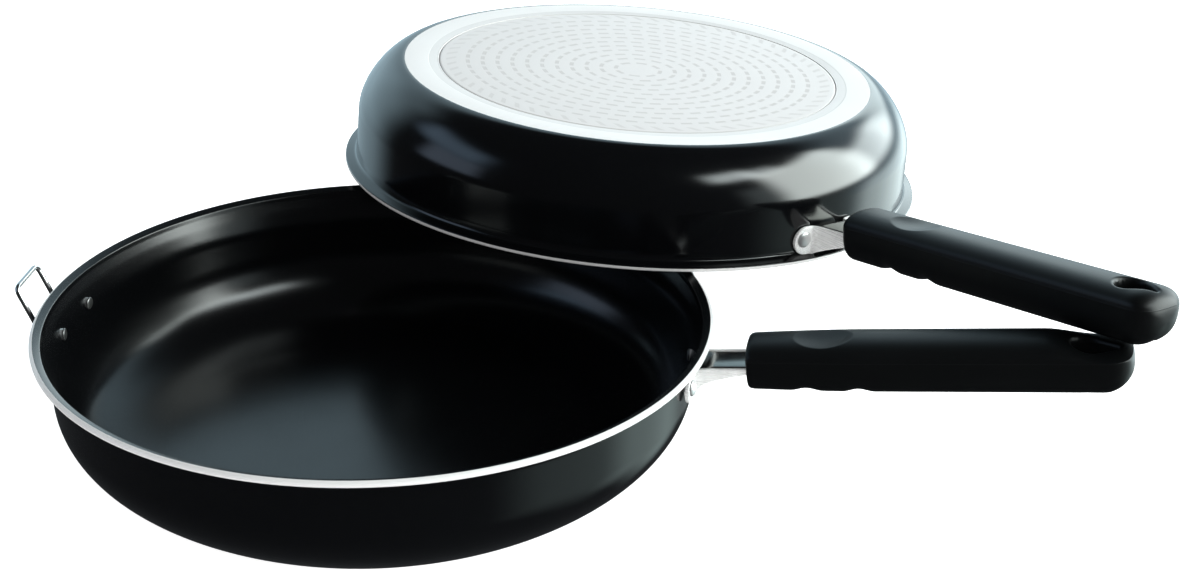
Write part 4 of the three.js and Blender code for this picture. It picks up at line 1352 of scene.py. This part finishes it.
def studio_world(scene):
    """White to the camera, even and neutral to matt surfaces, and a dark room with soft lights to the gloss."""
    studio = scene.pan_studio
    world = bpy.data.worlds.new("studio")
    world.use_nodes = True
    scene.world = world
    finish = Finish(world.node_tree)
    x, y, z = finish.parts(finish.node("ShaderNodeTexCoord", output="Generated"))
    to_degrees = 180 / math.pi
    around = finish.node("ShaderNodeMath", {"operation": "ARCTAN2"}, {0: x, 1: y}) * to_degrees
    above = finish.node("ShaderNodeMath", {"operation": "ARCSINE"}, {0: z}) * to_degrees
    total = finish.vector(*DARK_ROOM)
    for key, (left, right, side_soft, low, high, up_soft, tone) in REFLECTIONS.items():
        mask = around.band(left, right, side_soft) * above.band(low, high, up_soft) * getattr(studio, key)
        light = finish.node("ShaderNodeVectorMath", {"operation": "SCALE"}, {0: tone, "Scale": mask})
        total = finish.node("ShaderNodeVectorMath", {"operation": "ADD"}, {0: total, 1: light})
    matt = finish.node("ShaderNodeLightPath", output="Is Diffuse Ray")
    seen = finish.node("ShaderNodeLightPath", output="Is Camera Ray")
    tone = finish.blend(seen, finish.blend(matt, total, opaque(WHITE, studio.daylight)), opaque(WHITE))
    shader = finish.node("ShaderNodeBackground", None, {"Color": tone, "Strength": 1.0})
    finish.node("ShaderNodeOutputWorld", None, {"Surface": shader})


# Which way is right and which way is up in the photograph's picture
CAMERA_RIGHT = Vector((0.98388, 0.17881, -0.00262))
CAMERA_UP = Vector((-0.07385, 0.41960, 0.90470))


def studio_camera(scene):
    """The photograph's camera: its place, and its turn from two directions of the picture."""
    studio = scene.pan_studio
    data = bpy.data.cameras.new("camera")
    data.sensor_fit = "HORIZONTAL"
    data.sensor_width = 36.0
    data.lens = studio.lens
    data.clip_start, data.clip_end = 0.05, 30.0
    turn = Matrix((CAMERA_RIGHT, CAMERA_UP, CAMERA_RIGHT.cross(CAMERA_UP))).transposed().to_4x4()
    camera = bpy.data.objects.new("camera", data)
    camera.matrix_world = Matrix.Translation(studio.camera_place) @ turn
    scene.collection.objects.link(camera)
    scene.camera = camera


def white_floor(studio):
    """Pale floor that stays white under the pans and takes only a faint shadow."""
    return material("white_floor", lambda finish: {
        "Base Color": opaque(WHITE, 0.8), "Roughness": 0.9, "Specular IOR Level": 0.0,
        "Emission Color": opaque(WHITE), "Emission Strength": studio.floor_glow,
    })


# Where each lamp stands, how wide and deep they are, and what they point at
LAMPS = {"front_fill": (0.5, -1.3, 0.35), "top_fill": (0.1, 0.0, 1.6)}
LAMP_SIZE = (1.2, 0.8)
LAMP_AIM = Vector((0.05, 0.05, 0.05))
# Half the floor's width, and its height just under the pans
FLOOR_HALF, FLOOR_LEVEL = 6.0, -0.0002


class StageBuilder(bpy.types.Operator):
    """Set the floor, the light and the camera"""
    bl_idname = "flip_pan.stage"
    bl_label = "Stage"

    def execute(self, context):
        scene = context.scene
        scene.view_settings.view_transform = "Standard"
        corners = [(x * FLOOR_HALF, y * FLOOR_HALF, FLOOR_LEVEL) for x, y in ((-1, -1), (1, -1), (1, 1), (-1, 1))]
        mesh = bpy.data.meshes.new("floor")
        mesh.from_pydata(corners, [], [(0, 1, 2, 3)])
        mesh.materials.append(white_floor(scene.pan_studio))
        floor = bpy.data.objects.new("floor", mesh)
        floor.visible_glossy = False
        scene.collection.objects.link(floor)
        studio_world(scene)
        for name, stand in LAMPS.items():
            self.add_lamp(scene, name, Vector(stand))
        studio_camera(scene)
        return {"FINISHED"}

    def add_lamp(self, scene, name, stand):
        """A wide soft light that brightens bare metal and leaves the gloss alone."""
        data = bpy.data.lights.new(name, "AREA")
        data.shape = "RECTANGLE"
        data.size, data.size_y = LAMP_SIZE
        data.energy = getattr(scene.pan_studio, name)
        light = bpy.data.objects.new(name, data)
        turn = (LAMP_AIM - stand).to_track_quat("-Z", "Y").to_matrix().to_4x4()
        light.matrix_world = Matrix.Translation(stand) @ turn
        light.visible_glossy = False
        scene.collection.objects.link(light)


class FlipPanPanel(bpy.types.Panel):
    """Builders and sizes in the sidebar"""
    bl_idname = "VIEW3D_PT_flip_pan"
    bl_label = "Flip pan"
    bl_space_type = "VIEW_3D"
    bl_region_type = "UI"
    bl_category = "Flip pan"

    def draw(self, context):
        for builder in BUILDERS:
            self.layout.operator(builder.bl_idname)
        for name in GROUPS:
            group = getattr(context.scene, name)
            box = self.layout.box()
            for key in group.__annotations__:
                box.prop(group, key)


GROUPS = {
    "lower_pan": LowerPanSizes,
    "upper_pan": UpperPanSizes,
    "pan_grips": GripSizes,
    "pan_fittings": FittingSizes,
    "pan_finishes": FinishColours,
    "pan_studio": StudioSettings,
}
BUILDERS = [
    StageBuilder, LowerPanBuilder, UpperPanBuilder, GripBuilder,
    BracketBuilder, HingeBuilder, HookBuilder, ScrewFinisher,
]


def register():
    for group in GROUPS.values():
        for key, made in group.__annotations__.items():
            made.keywords["name"] = key.replace("_", " ").capitalize()
        bpy.utils.register_class(group)
    for name, group in GROUPS.items():
        setattr(bpy.types.Scene, name, PointerProperty(type=group))
    for made in (*BUILDERS, FlipPanPanel):
        bpy.utils.register_class(made)


def unregister():
    for made in reversed((*BUILDERS, FlipPanPanel)):
        bpy.utils.unregister_class(made)
    for name in reversed(GROUPS):
        delattr(bpy.types.Scene, name)
    for group in reversed(GROUPS.values()):
        bpy.utils.unregister_class(group)


def main():
    register()
    for builder in BUILDERS:
        group, name = builder.bl_idname.split(".")
        getattr(getattr(bpy.ops, group), name)()
    bpy.context.view_layer.update()


if __name__ == "__main__":
    main()
